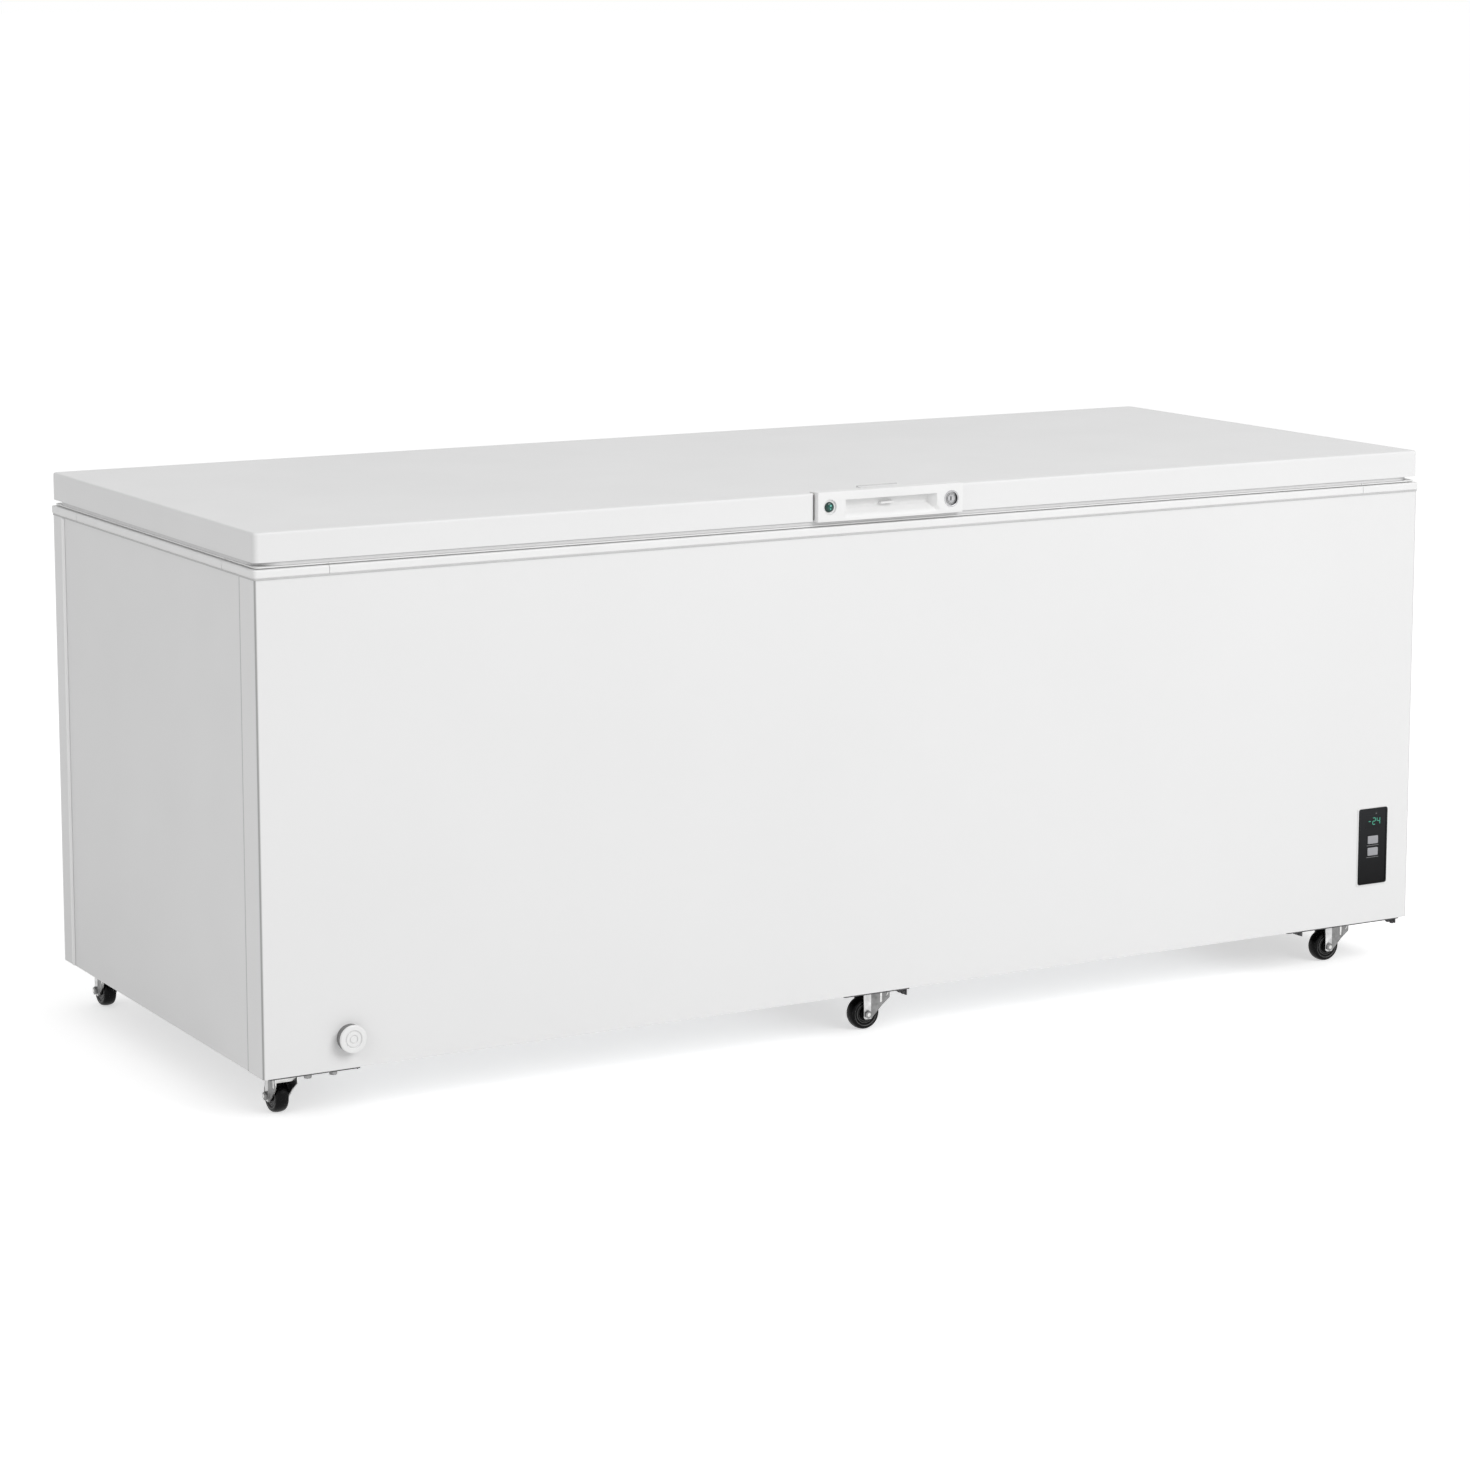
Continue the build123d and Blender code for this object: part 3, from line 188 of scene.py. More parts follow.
def turnPiece(name, profile, sides=64, facing=(0, 0, 0), at=(0, 0, 0), closed=False):
    # a ring drawn out step by step along (radius, height) pairs in mm, about Z
    dropPicks()
    radius, height = profile[0]
    bpy.ops.mesh.primitive_circle_add(vertices=sides, radius=radius * mm, location=(0, 0, height * mm))
    piece = bpy.context.object
    piece.name = name
    applyPlace(piece)
    openMesh(piece, "EDGE")
    bpy.ops.mesh.select_all(action="SELECT")
    for newRadius, newHeight in profile[1:]:
        rise = (0, 0, (newHeight - height) * mm)
        bpy.ops.mesh.extrude_region_move(TRANSFORM_OT_translate={"value": rise})
        grow = newRadius / radius
        bpy.ops.transform.resize(value=(grow, grow, 1), center_override=(0, 0, newHeight * mm))
        radius, height = newRadius, newHeight
    if not closed:
        bpy.ops.mesh.edge_face_add()
        closeMesh()
        firstRadius, firstHeight = profile[0]
        pickEdges(piece, lambda a, b: all(level(p.z, firstHeight) and level(p.xy.length, firstRadius)
                                          for p in (a, b)))
        bpy.ops.mesh.edge_face_add()
    bpy.ops.mesh.select_all(action="SELECT")
    bpy.ops.mesh.remove_doubles(threshold=1e-6)
    bpy.ops.mesh.normals_make_consistent(inside=False)
    closeMesh()
    piece.rotation_euler = [math.radians(turn) for turn in facing]
    piece.location = Vector(at) * mm
    applyPlace(piece)
    smoothOver(piece, angle=32)
    return piece


def copyPiece(piece, name):
    twin = piece.copy()
    twin.data = piece.data.copy()
    twin.name = name
    bpy.context.scene.collection.objects.link(twin)
    return twin


def coat(piece, finish):  # one finish all over
    piece.data.materials.clear()
    piece.data.materials.append(finish)


def paintFaces(piece, finish, test):  # the test is as for pickFaces
    piece.data.materials.append(finish)
    place = len(piece.data.materials) - 1
    for face in piece.data.polygons:
        if test(face.center / mm, face.normal):
            face.material_index = place


def settle(piece, body, finish, slotName, *standsFor):  # with no finish, the piece is painted already
    if finish:
        coat(piece, finish)
    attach(piece, body)
    if standsFor:
        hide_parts(*standsFor)


# Finishes

noiseLow = 0.3  # nearly all of a noise lies between these two
noiseHigh = 0.7


def startFinish(name, colour, roughness, metallic=0.0):
    finish = bpy.data.materials.new(name)
    finish.use_nodes = True
    tree = finish.node_tree
    shader = tree.nodes["Principled BSDF"]
    shader.inputs["Base Color"].default_value = (*colour, 1)
    shader.inputs["Roughness"].default_value = roughness
    shader.inputs["Metallic"].default_value = metallic
    where = tree.nodes.new("ShaderNodeTexCoord").outputs["Object"]
    return finish, tree, shader, where


def toned(colour, share):  # darker with a share under 1, lighter with one above
    return [part * share for part in colour]


def cloudy(tree, where, scale, detail=2.0):
    noise = tree.nodes.new("ShaderNodeTexNoise")
    noise.inputs["Scale"].default_value = scale
    noise.inputs["Detail"].default_value = detail
    tree.links.new(where, noise.inputs["Vector"])
    return noise.outputs["Fac"]


def cellular(tree, where, scale, feature="F1", output="Distance"):
    cells = tree.nodes.new("ShaderNodeTexVoronoi")
    cells.feature = feature
    cells.inputs["Scale"].default_value = scale
    tree.links.new(where, cells.inputs["Vector"])
    return cells.outputs[output]


def mapRange(tree, value, low=0.0, high=1.0, toLow=0.0, toHigh=1.0):
    spread = tree.nodes.new("ShaderNodeMapRange")
    for socket, number in (("From Min", low), ("From Max", high), ("To Min", toLow), ("To Max", toHigh)):
        spread.inputs[socket].default_value = number
    tree.links.new(value, spread.inputs["Value"])
    return spread.outputs["Result"]


def mathStep(tree, operation, *sources):
    step = tree.nodes.new("ShaderNodeMath")
    step.operation = operation
    for count, source in enumerate(sources):
        tree.links.new(source, step.inputs[count])
    return step.outputs["Value"]


def splitXyz(tree, where):
    apart = tree.nodes.new("ShaderNodeSeparateXYZ")
    tree.links.new(where, apart.inputs["Vector"])
    return apart.outputs


def tint(tree, shader, factor, dark, light, low=noiseLow, high=noiseHigh):
    ramp = tree.nodes.new("ShaderNodeValToRGB")
    ramp.color_ramp.elements[0].position = low
    ramp.color_ramp.elements[0].color = (*dark, 1)
    ramp.color_ramp.elements[1].position = high
    ramp.color_ramp.elements[1].color = (*light, 1)
    tree.links.new(factor, ramp.inputs["Fac"])
    tree.links.new(ramp.outputs["Color"], shader.inputs["Base Color"])


def varyRoughness(tree, shader, factor, low, high):
    roughness = mapRange(tree, factor, noiseLow, noiseHigh, low, high)
    tree.links.new(roughness, shader.inputs["Roughness"])


def raiseGrain(tree, shader, height, depth, strength=1.0):
    bump = tree.nodes.new("ShaderNodeBump")
    bump.inputs["Strength"].default_value = strength
    bump.inputs["Distance"].default_value = depth * mm
    tree.links.new(height, bump.inputs["Height"])
    tree.links.new(bump.outputs["Normal"], shader.inputs["Normal"])


def paintedSteel(name, colour, peel=0.02):  # sprayed enamel with a fine orange peel
    finish, tree, shader, where = startFinish(name, colour, roughness=0.47)
    shade = toned(colour, 0.985)
    tint(tree, shader, cloudy(tree, where, scale=2.5, detail=3.0), shade, colour)
    varyRoughness(tree, shader, cloudy(tree, where, scale=9.0, detail=4.0), low=0.42, high=0.52)
    raiseGrain(tree, shader, cloudy(tree, where, scale=420.0, detail=1.0), depth=peel)
    shader.inputs["Specular IOR Level"].default_value = 0.25
    shader.inputs["Coat Weight"].default_value = 0.04
    shader.inputs["Coat Roughness"].default_value = 0.35
    return finish


def shadeFolds(finish, fold):  # painted shade: a darker line where two faces of a folded panel meet
    tree = finish.node_tree
    shader = tree.nodes["Principled BSDF"]
    plain = shader.inputs["Base Color"].links[0].from_socket
    apart = splitXyz(tree, tree.nodes.new("ShaderNodeTexCoord").outputs["Object"])
    width, fade = fold["width"], fold["fade"]
    near = [mapRange(tree, mathStep(tree, "ABSOLUTE", apart[axis]),
                     (edge - width) * mm, (edge - width * fade) * mm)
            for axis, edge in fold["edges"].items()]
    mix = tree.nodes.new("ShaderNodeMix")
    mix.data_type = "RGBA"
    tree.links.new(mathStep(tree, "MULTIPLY", *near), mix.inputs["Factor"])
    colours = [socket for socket in mix.inputs if socket.type == "RGBA"]
    colours[1].default_value = (*fold["shade"], 1)
    tree.links.new(plain, colours[0])
    result = [socket for socket in mix.outputs if socket.type == "RGBA"][0]
    tree.links.new(result, shader.inputs["Base Color"])


def mouldedPlastic(name, colour, roughness=0.42, grain=0.03):  # spark-eroded grain
    finish, tree, shader, where = startFinish(name, colour, roughness)
    shade = toned(colour, 0.97)
    tint(tree, shader, cloudy(tree, where, scale=14.0, detail=3.0), shade, colour)
    varyRoughness(tree, shader, cloudy(tree, where, scale=60.0, detail=3.0),
                  low=roughness - 0.05, high=roughness + 0.06)
    raiseGrain(tree, shader, cloudy(tree, where, scale=1500.0, detail=2.0), depth=grain)
    return finish


def zincPlate(name, dark, light, roughness=0.28):  # bright plating with faint blotches
    finish, tree, shader, where = startFinish(name, light, roughness, metallic=1.0)
    tint(tree, shader, cloudy(tree, where, scale=120.0, detail=3.0), dark, light)
    varyRoughness(tree, shader, cloudy(tree, where, scale=300.0, detail=4.0),
                  low=roughness - 0.08, high=roughness + 0.1)
    raiseGrain(tree, shader, cloudy(tree, where, scale=900.0, detail=2.0), depth=0.015)
    return finish


def galvanisedSheet(name, dark, light):  # zinc crystals a few millimetres across
    finish, tree, shader, where = startFinish(name, light, roughness=0.42, metallic=0.9)
    spangle = cellular(tree, where, scale=160.0, output="Color")
    single = tree.nodes.new("ShaderNodeSeparateColor")
    tree.links.new(spangle, single.inputs["Color"])
    tint(tree, shader, single.outputs["Red"], dark, light, low=0.1, high=0.9)
    varyRoughness(tree, shader, single.outputs["Green"], low=0.34, high=0.5)
    raiseGrain(tree, shader, cloudy(tree, where, scale=500.0, detail=3.0), depth=0.02)
    return finish


def stuccoAluminium(name, colour):  # embossed sheet, pebbles about 6 mm across
    finish, tree, shader, where = startFinish(name, colour, roughness=0.36, metallic=0.85)
    pebbles = cellular(tree, where, scale=170.0, feature="SMOOTH_F1")
    shade = toned(colour, 0.86)
    tint(tree, shader, pebbles, colour, shade, low=0.2, high=0.75)
    varyRoughness(tree, shader, cloudy(tree, where, scale=40.0, detail=4.0), low=0.3, high=0.44)
    raiseGrain(tree, shader, pebbles, depth=0.5, strength=0.7)
    return finish


def polishedChrome(name, colour):
    finish, tree, shader, where = startFinish(name, colour, roughness=0.26, metallic=1.0)
    shade = toned(colour, 0.9)
    tint(tree, shader, cloudy(tree, where, scale=260.0, detail=2.0), shade, colour)
    varyRoughness(tree, shader, cloudy(tree, where, scale=700.0, detail=3.0), low=0.2, high=0.32)
    return finish


def glossPanel(name, top, bottom, lowZ, highZ):  # dark printed acrylic, with a painted reflection that makes it a little lighter to its top
    finish, tree, shader, where = startFinish(name, bottom, roughness=0.16)
    rise = mapRange(tree, splitXyz(tree, where)["Z"], lowZ, highZ)
    tint(tree, shader, rise, bottom, top, low=0.0, high=1.0)
    varyRoughness(tree, shader, cloudy(tree, where, scale=200.0, detail=3.0), low=0.28, high=0.38)
    shader.inputs["Specular IOR Level"].default_value = 0.11
    return finish


def roughRubber(name, colour, roughness=0.6, grain=0.04, sheen=0.5, mottle=1.5):
    finish, tree, shader, where = startFinish(name, colour, roughness)
    shader.inputs["Specular IOR Level"].default_value = sheen
    light = toned(colour, mottle)
    tint(tree, shader, cloudy(tree, where, scale=90.0, detail=4.0), colour, light, low=0.4, high=0.8)
    varyRoughness(tree, shader, cloudy(tree, where, scale=220.0, detail=4.0),
                  low=roughness - 0.12, high=roughness + 0.12)
    raiseGrain(tree, shader, cloudy(tree, where, scale=1300.0, detail=3.0), depth=grain)
    return finish


def blownFoam(name, colour):
    finish, tree, shader, where = startFinish(name, colour, roughness=0.9)
    bubbles = cellular(tree, where, scale=420.0)
    shade = toned(colour, 0.7)
    tint(tree, shader, bubbles, colour, shade, low=0.2, high=0.8)
    raiseGrain(tree, shader, bubbles, depth=0.4)
    return finish


def drawnCopper(name, colour):
    finish, tree, shader, where = startFinish(name, colour, roughness=0.3, metallic=1.0)
    shade = toned(colour, 0.55)
    tint(tree, shader, cloudy(tree, where, scale=45.0, detail=5.0), shade, colour, low=0.25, high=0.6)
    varyRoughness(tree, shader, cloudy(tree, where, scale=150.0, detail=4.0), low=0.22, high=0.45)
    return finish


def greenLens(name, rim, core, centre, radius):  # a jewel lens with painted light: lighter towards its middle, for the glow and reflections inside it
    finish, tree, shader, where = startFinish(name, rim, roughness=0.06)
    mapping = tree.nodes.new("ShaderNodeMapping")
    mapping.inputs["Location"].default_value = [-part for part in centre]
    apart = tree.nodes.new("ShaderNodeVectorMath")
    apart.operation = "LENGTH"
    tree.links.new(where, mapping.inputs["Vector"])
    tree.links.new(mapping.outputs["Vector"], apart.inputs[0])
    outward = mapRange(tree, apart.outputs["Value"], high=radius)
    tint(tree, shader, outward, core, rim, low=0.05, high=0.75)
    raiseGrain(tree, shader, cellular(tree, where, scale=500.0), depth=0.12, strength=0.5)
    shader.inputs["Specular IOR Level"].default_value = 0.3
    shader.inputs["Coat Weight"].default_value = 0.35
    shader.inputs["Coat Roughness"].default_value = 0.03
    return finish


def litDigit(name, colour, strength):
    finish, tree, shader, where = startFinish(name, colour, roughness=0.4)
    tint(tree, shader, cloudy(tree, where, scale=800.0), toned(colour, 0.9), colour)
    shader.inputs["Emission Color"].default_value = (*colour, 1)
    shader.inputs["Emission Strength"].default_value = strength
    return finish


fasciaLow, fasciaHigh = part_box("control_fascia")
lensLow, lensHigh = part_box("pilot_lamp_lens")
lensFront = ((lensLow.x + lensHigh.x) / 2, lensLow.y, (lensLow.z + lensHigh.z) / 2)
lensGlow = 0.0085  # metres from the lens's middle to the end of its painted glow
windowFade = (0.227, 0.249)  # metres up, between which the painted reflection turns the window lighter
enamelWhite = (0.83, 0.83, 0.83)
# painted shade along the corner folds of the front and back panels
foldLine = {"edges": cabinetHalf, "width": 3.2, "fade": 0.55, "shade": (0.4, 0.4, 0.4)}

finishes = {
    "white_paint": paintedSteel("whiteEnamel", enamelWhite),
    "white_plastic": mouldedPlastic("whitePlastic", (0.85, 0.85, 0.848)),
    "grey_plastic": mouldedPlastic("greyPlastic", (0.42, 0.43, 0.44), roughness=0.5, grain=0.04),
    "liner_aluminium": stuccoAluminium("stuccoLiner", (0.8, 0.81, 0.82)),
    "galvanised": galvanisedSheet("galvanisedSheet", (0.34, 0.35, 0.36), (0.6, 0.61, 0.62)),
    "zinc": zincPlate("brightZinc", (0.58, 0.58, 0.57), (0.78, 0.78, 0.77)),
    "lock_chrome": polishedChrome("lockChrome", (0.5, 0.5, 0.51)),
    "black_gloss": glossPanel("blackFascia", (0.018, 0.019, 0.021), (0.003, 0.003, 0.0035),
                              fasciaLow.z, fasciaHigh.z),
    "smoked_window": glossPanel("smokedWindow", (0.017, 0.018, 0.02), (0.011, 0.012, 0.013), *windowFade),
    "board_green": mouldedPlastic("boardGreen", (0.02, 0.11, 0.045), roughness=0.4, grain=0.05),
    "lamp_green": greenLens("greenLens", (0.0, 0.03, 0.024), (0.0, 0.1, 0.075), lensFront, lensGlow),
    "button_grey": mouldedPlastic("buttonGrey", (0.5, 0.5, 0.52), roughness=0.45),
    "wheel_black": roughRubber("wheelBlack", (0.002, 0.002, 0.0022), roughness=0.3, grain=0.02, sheen=0.12),
    "rubber_black": roughRubber("rubberBlack", (0.016, 0.016, 0.016), roughness=0.7),
    "gasket_grey": roughRubber("gasketGrey", (0.68, 0.68, 0.68), mottle=1.05),
    "foam": blownFoam("pouredFoam", (0.75, 0.62, 0.34)),
    "black_enamel": paintedSteel("blackEnamel", (0.012, 0.012, 0.013), peel=0.04),
    "copper": drawnCopper("copperTube", (0.66, 0.3, 0.17)),
    "coated_wire": mouldedPlastic("coatedWire", (0.82, 0.82, 0.82), roughness=0.35, grain=0.02),
}
# painted shade: dark grey for the gaps at the handle's ends
gapShadeGrey = roughRubber("gapShadeGrey", (0.16, 0.16, 0.16), mottle=1.15)
# painted shade: grey for the shadow lines under the trim, at the front seams and behind the handle's tongue
shadeLineGrey = roughRubber("shadeLineGrey", (0.55, 0.55, 0.55), mottle=1.08)
# painted shade for the drain dial's sides
dialSideShade = mouldedPlastic("dialSideShade", (0.2, 0.2, 0.2), roughness=0.5)
markGrey = mouldedPlastic("markGrey", (0.16, 0.16, 0.165), roughness=0.5)
keyGrey = mouldedPlastic("keyGrey", (0.34, 0.34, 0.36), roughness=0.5)
# painted highlight: a white brighter than the enamel for the bright line on the rear seams
highlightWhite = mouldedPlastic("highlightWhite", (0.95, 0.95, 0.95))
finPale = roughRubber("finPale", (0.66, 0.66, 0.66), mottle=1.04)
# painted highlight: pale green for the glints on the lamp's lens
glintGreen = mouldedPlastic("glintGreen", (0.16, 0.55, 0.47), roughness=0.3)
# painted shade: a darker zinc for the castor legs' outward faces
sideShadeZinc = zincPlate("sideShadeZinc", (0.52, 0.52, 0.52), (0.68, 0.68, 0.68), roughness=0.34)
# painted highlight: a lighter grey for the light caught by the wheel's rings
ringHighlightGrey = roughRubber("ringHighlightGrey", (0.1, 0.1, 0.1), roughness=0.35, grain=0.02, sheen=0.3)
# a dull zinc for the nuts, heads and plate bolts, also used as painted shade on the castor wings and in the
# lock's groove
dullAndShadedZinc = zincPlate("dullAndShadedZinc", (0.2, 0.2, 0.2), (0.3, 0.3, 0.3), roughness=0.42)
# painted shade: a dark steel for parts and faces that lie in shade
paintedShadeSteel = zincPlate("paintedShadeSteel", (0.07, 0.07, 0.072), (0.12, 0.12, 0.122), roughness=0.5)
for part in frame["record"]["subparts"]:
    coat(nodes[part["node"]], finishes[part["material_slot"]])
# painted shade: the rails and tray under the cabinet are coated dark for the shade there
for name in ("support_rails", "compressor_tray"):
    coat(nodes[name], paintedShadeSteel)
# painted shade: the front and back panels get a darker line down their corner folds
foldShadedEnamel = paintedSteel("foldShadedEnamel", enamelWhite)
shadeFolds(foldShadedEnamel, foldLine)
for name in ("front_panel", "back_panel"):
    coat(nodes[name], foldShadedEnamel)


# Handle: plate over the lid's edge with a finger scoop, a rib in it, and seats for lamp and lock

handleMould = {
    "thick": 20.5, "edge": 1.1, "smooth": 40, "endSlope": 8.0, "endEase": 2.6,
    "scoopLeft": -71.5, "scoopRight": 86.5, "scoopTop": 823.5, "lip": 799.0, "depth": 18.6,
    "slopeRise": 11.0, "overhang": 4.0, "undercut": 4.0, "lipRound": 8.0, "lipDeep": 5.0, "innerRound": 4.0,
    "ribWidth": 22.0, "ribLow": 812.0, "ribHigh": 815.4, "ribFront": 10.5, "ribEdge": 0.9,
    "tongueWidth": 70.0, "tongueThick": 1.45, "tongueLap": 1.6, "tongueRoot": 4.0, "tongueRound": 6.0,
    "tongueEdge": 0.7,
    "dishRadius": 11.2, "dishDeep": 2.4, "dishFoot": 0.7, "dishBrow": 0.4, "dishFlare": 0.9, "dishClear": 1.0,
    "lampHole": 7.8, "lockHole": 11.3, "lockClear": 5.0, "holeDeep": 30.0,
}
# grey strips that paint the shadow in the gaps round the handle
handleGapShape = {
    "half": 0.9, "gap": 0.4, "proud": 0.3, "deep": 2.0, "foot": 2.0, "head": 2.5, "edge": 0.4,
    "backLeft": 43.0, "backRight": 45.0, "backSink": 1.0, "backWide": 1.6, "backRise": 0.9,
}


def makeHandle(mould):
    low, high = (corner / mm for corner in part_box("handle"))
    front = low.y
    plate = newBlock("liftHandle", low, (high.x, front + mould["thick"], high.z))
    for x in (mould["scoopLeft"], mould["scoopRight"]):
        slicePiece(plate, (x, 0, 0), (1, 0, 0))
    for z in (mould["lip"], mould["scoopTop"]):
        slicePiece(plate, (0, 0, z), (0, 0, 1))
    pickFaces(plate, lambda c, n: facesFront(n) and mould["scoopLeft"] < c.x < mould["scoopRight"]
              and mould["lip"] < c.z < mould["scoopTop"])
    bpy.ops.mesh.extrude_region_move(TRANSFORM_OT_translate={"value": (0, mould["depth"] * mm, 0)})
    deep = front + mould["depth"]
    middle = (mould["scoopLeft"] + mould["scoopRight"]) / 2
    span = mould["scoopRight"] - mould["scoopLeft"]
    draw = 1 - 2 * mould["endSlope"] / span
    bpy.ops.transform.resize(value=(draw, 1, 1), center_override=(middle * mm, 0, 0))
    closeMesh()
    shiftEdges(plate, (0, 0, mould["slopeRise"]),
               lambda a, b: all(level(p.y, deep) and level(p.z, mould["lip"]) for p in (a, b)))
    shiftEdges(plate, (0, -mould["overhang"], mould["undercut"]),
               lambda a, b: all(level(p.y, deep) and level(p.z, mould["scoopTop"]) for p in (a, b)))
    inner = mould["lip"] + mould["slopeRise"]
    roundEdges(plate, mould["innerRound"], 5,
               lambda a, b: all(level(p.z, inner) and p.y > front + mould["lipDeep"] for p in (a, b)))
    left, right = mould["scoopLeft"] - slack, mould["scoopRight"] + slack
    roundEdges(plate, mould["lipRound"], 7, lambda a, b: all(
        level(p.y, front) and level(p.z, mould["lip"]) and left < p.x < right for p in (a, b)))
    for x, ease in ((low.x, mould["endEase"]), (high.x, -mould["endEase"])):  # the ends lean in a little
        shiftEdges(plate, (ease, 0, 0), lambda a, b: all(level(p.x, x) and level(p.y, front) for p in (a, b)))
    soften(plate, mould["edge"], steps=4, angle=mould["smooth"])
    middle = (low.x + high.x) / 2
    half = mould["tongueWidth"] / 2
    lap = mould["tongueLap"]  # the tongue lies on the lid's skin and hides the notch under it
    root = front + mould["thick"] - mould["tongueRoot"]
    tongue = newBlock("tongue", (middle - half - lap, root, high.z - mould["tongueThick"]),
                      (middle + half + lap, high.y + lap, high.z))
    roundEdges(tongue, mould["tongueRound"], 6, lambda a, b: runs("Z", a, b) and a.y > high.y - endBand)
    soften(tongue, mould["tongueEdge"])
    half = mould["ribWidth"] / 2
    rib = newBlock("rib", (middle - half, front + mould["ribFront"], mould["ribLow"]),
                   (middle + half, deep, mould["ribHigh"]))
    soften(rib, mould["ribEdge"])
    return plate, tongue, rib


def dishTurning(mould):  # the lamp's seat, from the bottom of its hole to the flare at the front
    hole, wide, deep = mould["lampHole"], mould["dishRadius"], mould["dishDeep"]
    return [(hole, -mould["holeDeep"]), (hole, -deep), (wide - mould["dishFoot"], -deep),
            (wide, -mould["dishBrow"]), (wide + mould["dishFlare"], mould["dishClear"])]


def makeGapShades(shape):  # strips of painted shade: one down each end of the handle and one behind the tongue
    seams = [newBlock("gapStrip", (x - shape["half"], lidLow.y - shape["proud"], lidLow.z + shape["foot"]),
                      (x + shape["half"], lidLow.y + shape["deep"], lidHigh.z - shape["head"]))
             for x in (handleLow.x - shape["gap"], handleHigh.x + shape["gap"])]
    left, right = handleMould["scoopLeft"] + shape["backLeft"], handleMould["scoopRight"] - shape["backRight"]
    tongueEnd = handleHigh.y + handleMould["tongueLap"]
    seams.append(newBlock("gapStrip", (left, tongueEnd, lidHigh.z - shape["backSink"]),
                          (right, tongueEnd + shape["backWide"], handleHigh.z + shape["backRise"])))
    for gapStrip in seams:
        soften(gapStrip, shape["edge"], steps=2)
    return joinAs("handleGapShades", seams)


liftHandle, tongue, rib = makeHandle(handleMould)
lampAt = Vector(lensFront) / mm
lockLow, lockHigh = (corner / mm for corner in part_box("lock_barrel"))
lockAt = Vector(((lockLow.x + lockHigh.x) / 2, lockLow.y, (lockLow.z + lockHigh.z) / 2))
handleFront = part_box("handle")[0].y / mm
lampSeat = (lampAt.x, handleFront, lampAt.z)
lockSeat = (lockAt.x, handleFront, lockAt.z)
carve(liftHandle, turnPiece("dish", dishTurning(handleMould), 48, towardsFront, lampSeat))
boreRadius = handleMould["lockHole"]
boreTurning = [(boreRadius, -handleMould["holeDeep"]), (boreRadius, handleMould["lockClear"])]
carve(liftHandle, turnPiece("bore", boreTurning, 48, towardsFront, lockSeat))
joinTo(liftHandle, tongue, rib)
smoothOver(liftHandle, handleMould["smooth"])
settle(liftHandle, "lid", finishes["white_plastic"], "white_plastic", "handle")
lidLow, lidHigh = (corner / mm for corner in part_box("lid_skin"))
handleLow, handleHigh = (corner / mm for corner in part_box("handle"))
handleGapShades = makeGapShades(handleGapShape)
# painted shade: dark grey in the end gaps and a lighter grey behind the tongue
coat(handleGapShades, gapShadeGrey)
paintFaces(handleGapShades, shadeLineGrey, lambda c, n: c.y > handleHigh.y)
settle(handleGapShades, "lid", None, "gasket_grey")
print("handle done")


# Pilot lamp: domed jewel lens, with painted highlights: pale spots on it for its glints

pilotLamp = {
    "jewel": [(7.6, -18.0), (7.6, -1.4), (7.2, -0.4), (6.4, 0.3), (5.0, 0.8), (3.4, 1.1), (1.6, 1.2)],
    "glints": ((1.7, 0.8, 2.2), (1.1, 0.6, -2.4)),  # radius, across, up
    "glintSteps": ((1.0, -0.3), (1.0, 0.1), (0.6, 0.3)),  # share of the radius, rise
    "glintAhead": 1.0,
}
pilotLens = turnPiece("pilotLens", pilotLamp["jewel"], 48, towardsFront, lampSeat)
settle(pilotLens, "lid", finishes["lamp_green"], "lamp_green", "pilot_lamp_lens")
glints = []
for radius, across, up in pilotLamp["glints"]:
    steps = [(radius * share, rise) for share, rise in pilotLamp["glintSteps"]]
    spot = (lampAt.x + across, handleFront - pilotLamp["glintAhead"], lampAt.z + up)
    glints.append(turnPiece("glint", steps, 12, towardsFront, spot))
paintedLampGlints = joinAs("paintedLampGlints", glints)
settle(paintedLampGlints, "lid", glintGreen, "lamp_green")


# Lock: dished barrel with painted shade down its wall and in its groove, bright rings round the turning plug,
# and painted shade in the key slot

lockTurning = {
    "barrel": [(6.05, -20.4), (10.9, -20.4), (10.9, 0.05), (12.5, 0.05), (12.5, 0.4), (12.1, 0.75),
               (10.6, 0.8), (10.1, 0.5), (9.5, -2.2), (9.3, -2.5), (8.5, -2.5), (8.2, -2.9), (7.6, -2.9),
               (7.3, -2.5), (6.4, -2.5), (6.05, -2.9), (6.05, -20.4)],
    "plug": [(5.9, -12.0), (5.9, -2.3), (5.5, -1.8), (4.6, -1.8), (4.3, -2.15), (3.9, -2.15), (3.6, -1.8)],
    "wallFrom": -0.45, "wallTo": 2.3, "wallRadius": 10.3, "grooveShade": (7.2, 8.6),
    "slotWide": 2.0, "slotTall": 6.4, "slotAhead": 5.0, "slotDeep": 10.0, "slotEdge": 0.02, "slotFrom": 1.9,
}


def fromLock(spot):  # mm from the lock's axis
    return (spot.xz - lockAt.xz).length


wallFrom, wallTo = handleFront + lockTurning["wallFrom"], handleFront + lockTurning["wallTo"]
ringFrom, ringTo = lockTurning["grooveShade"]
lockBarrel = turnPiece("lockBarrel", lockTurning["barrel"], 64, towardsFront, lockSeat, closed=True)
coat(lockBarrel, finishes["lock_chrome"])
# painted shade: the barrel's wall is painted black for the shade down it
paintFaces(lockBarrel, finishes["black_enamel"],
           lambda c, n: wallFrom < c.y < wallTo and fromLock(c) < lockTurning["wallRadius"])
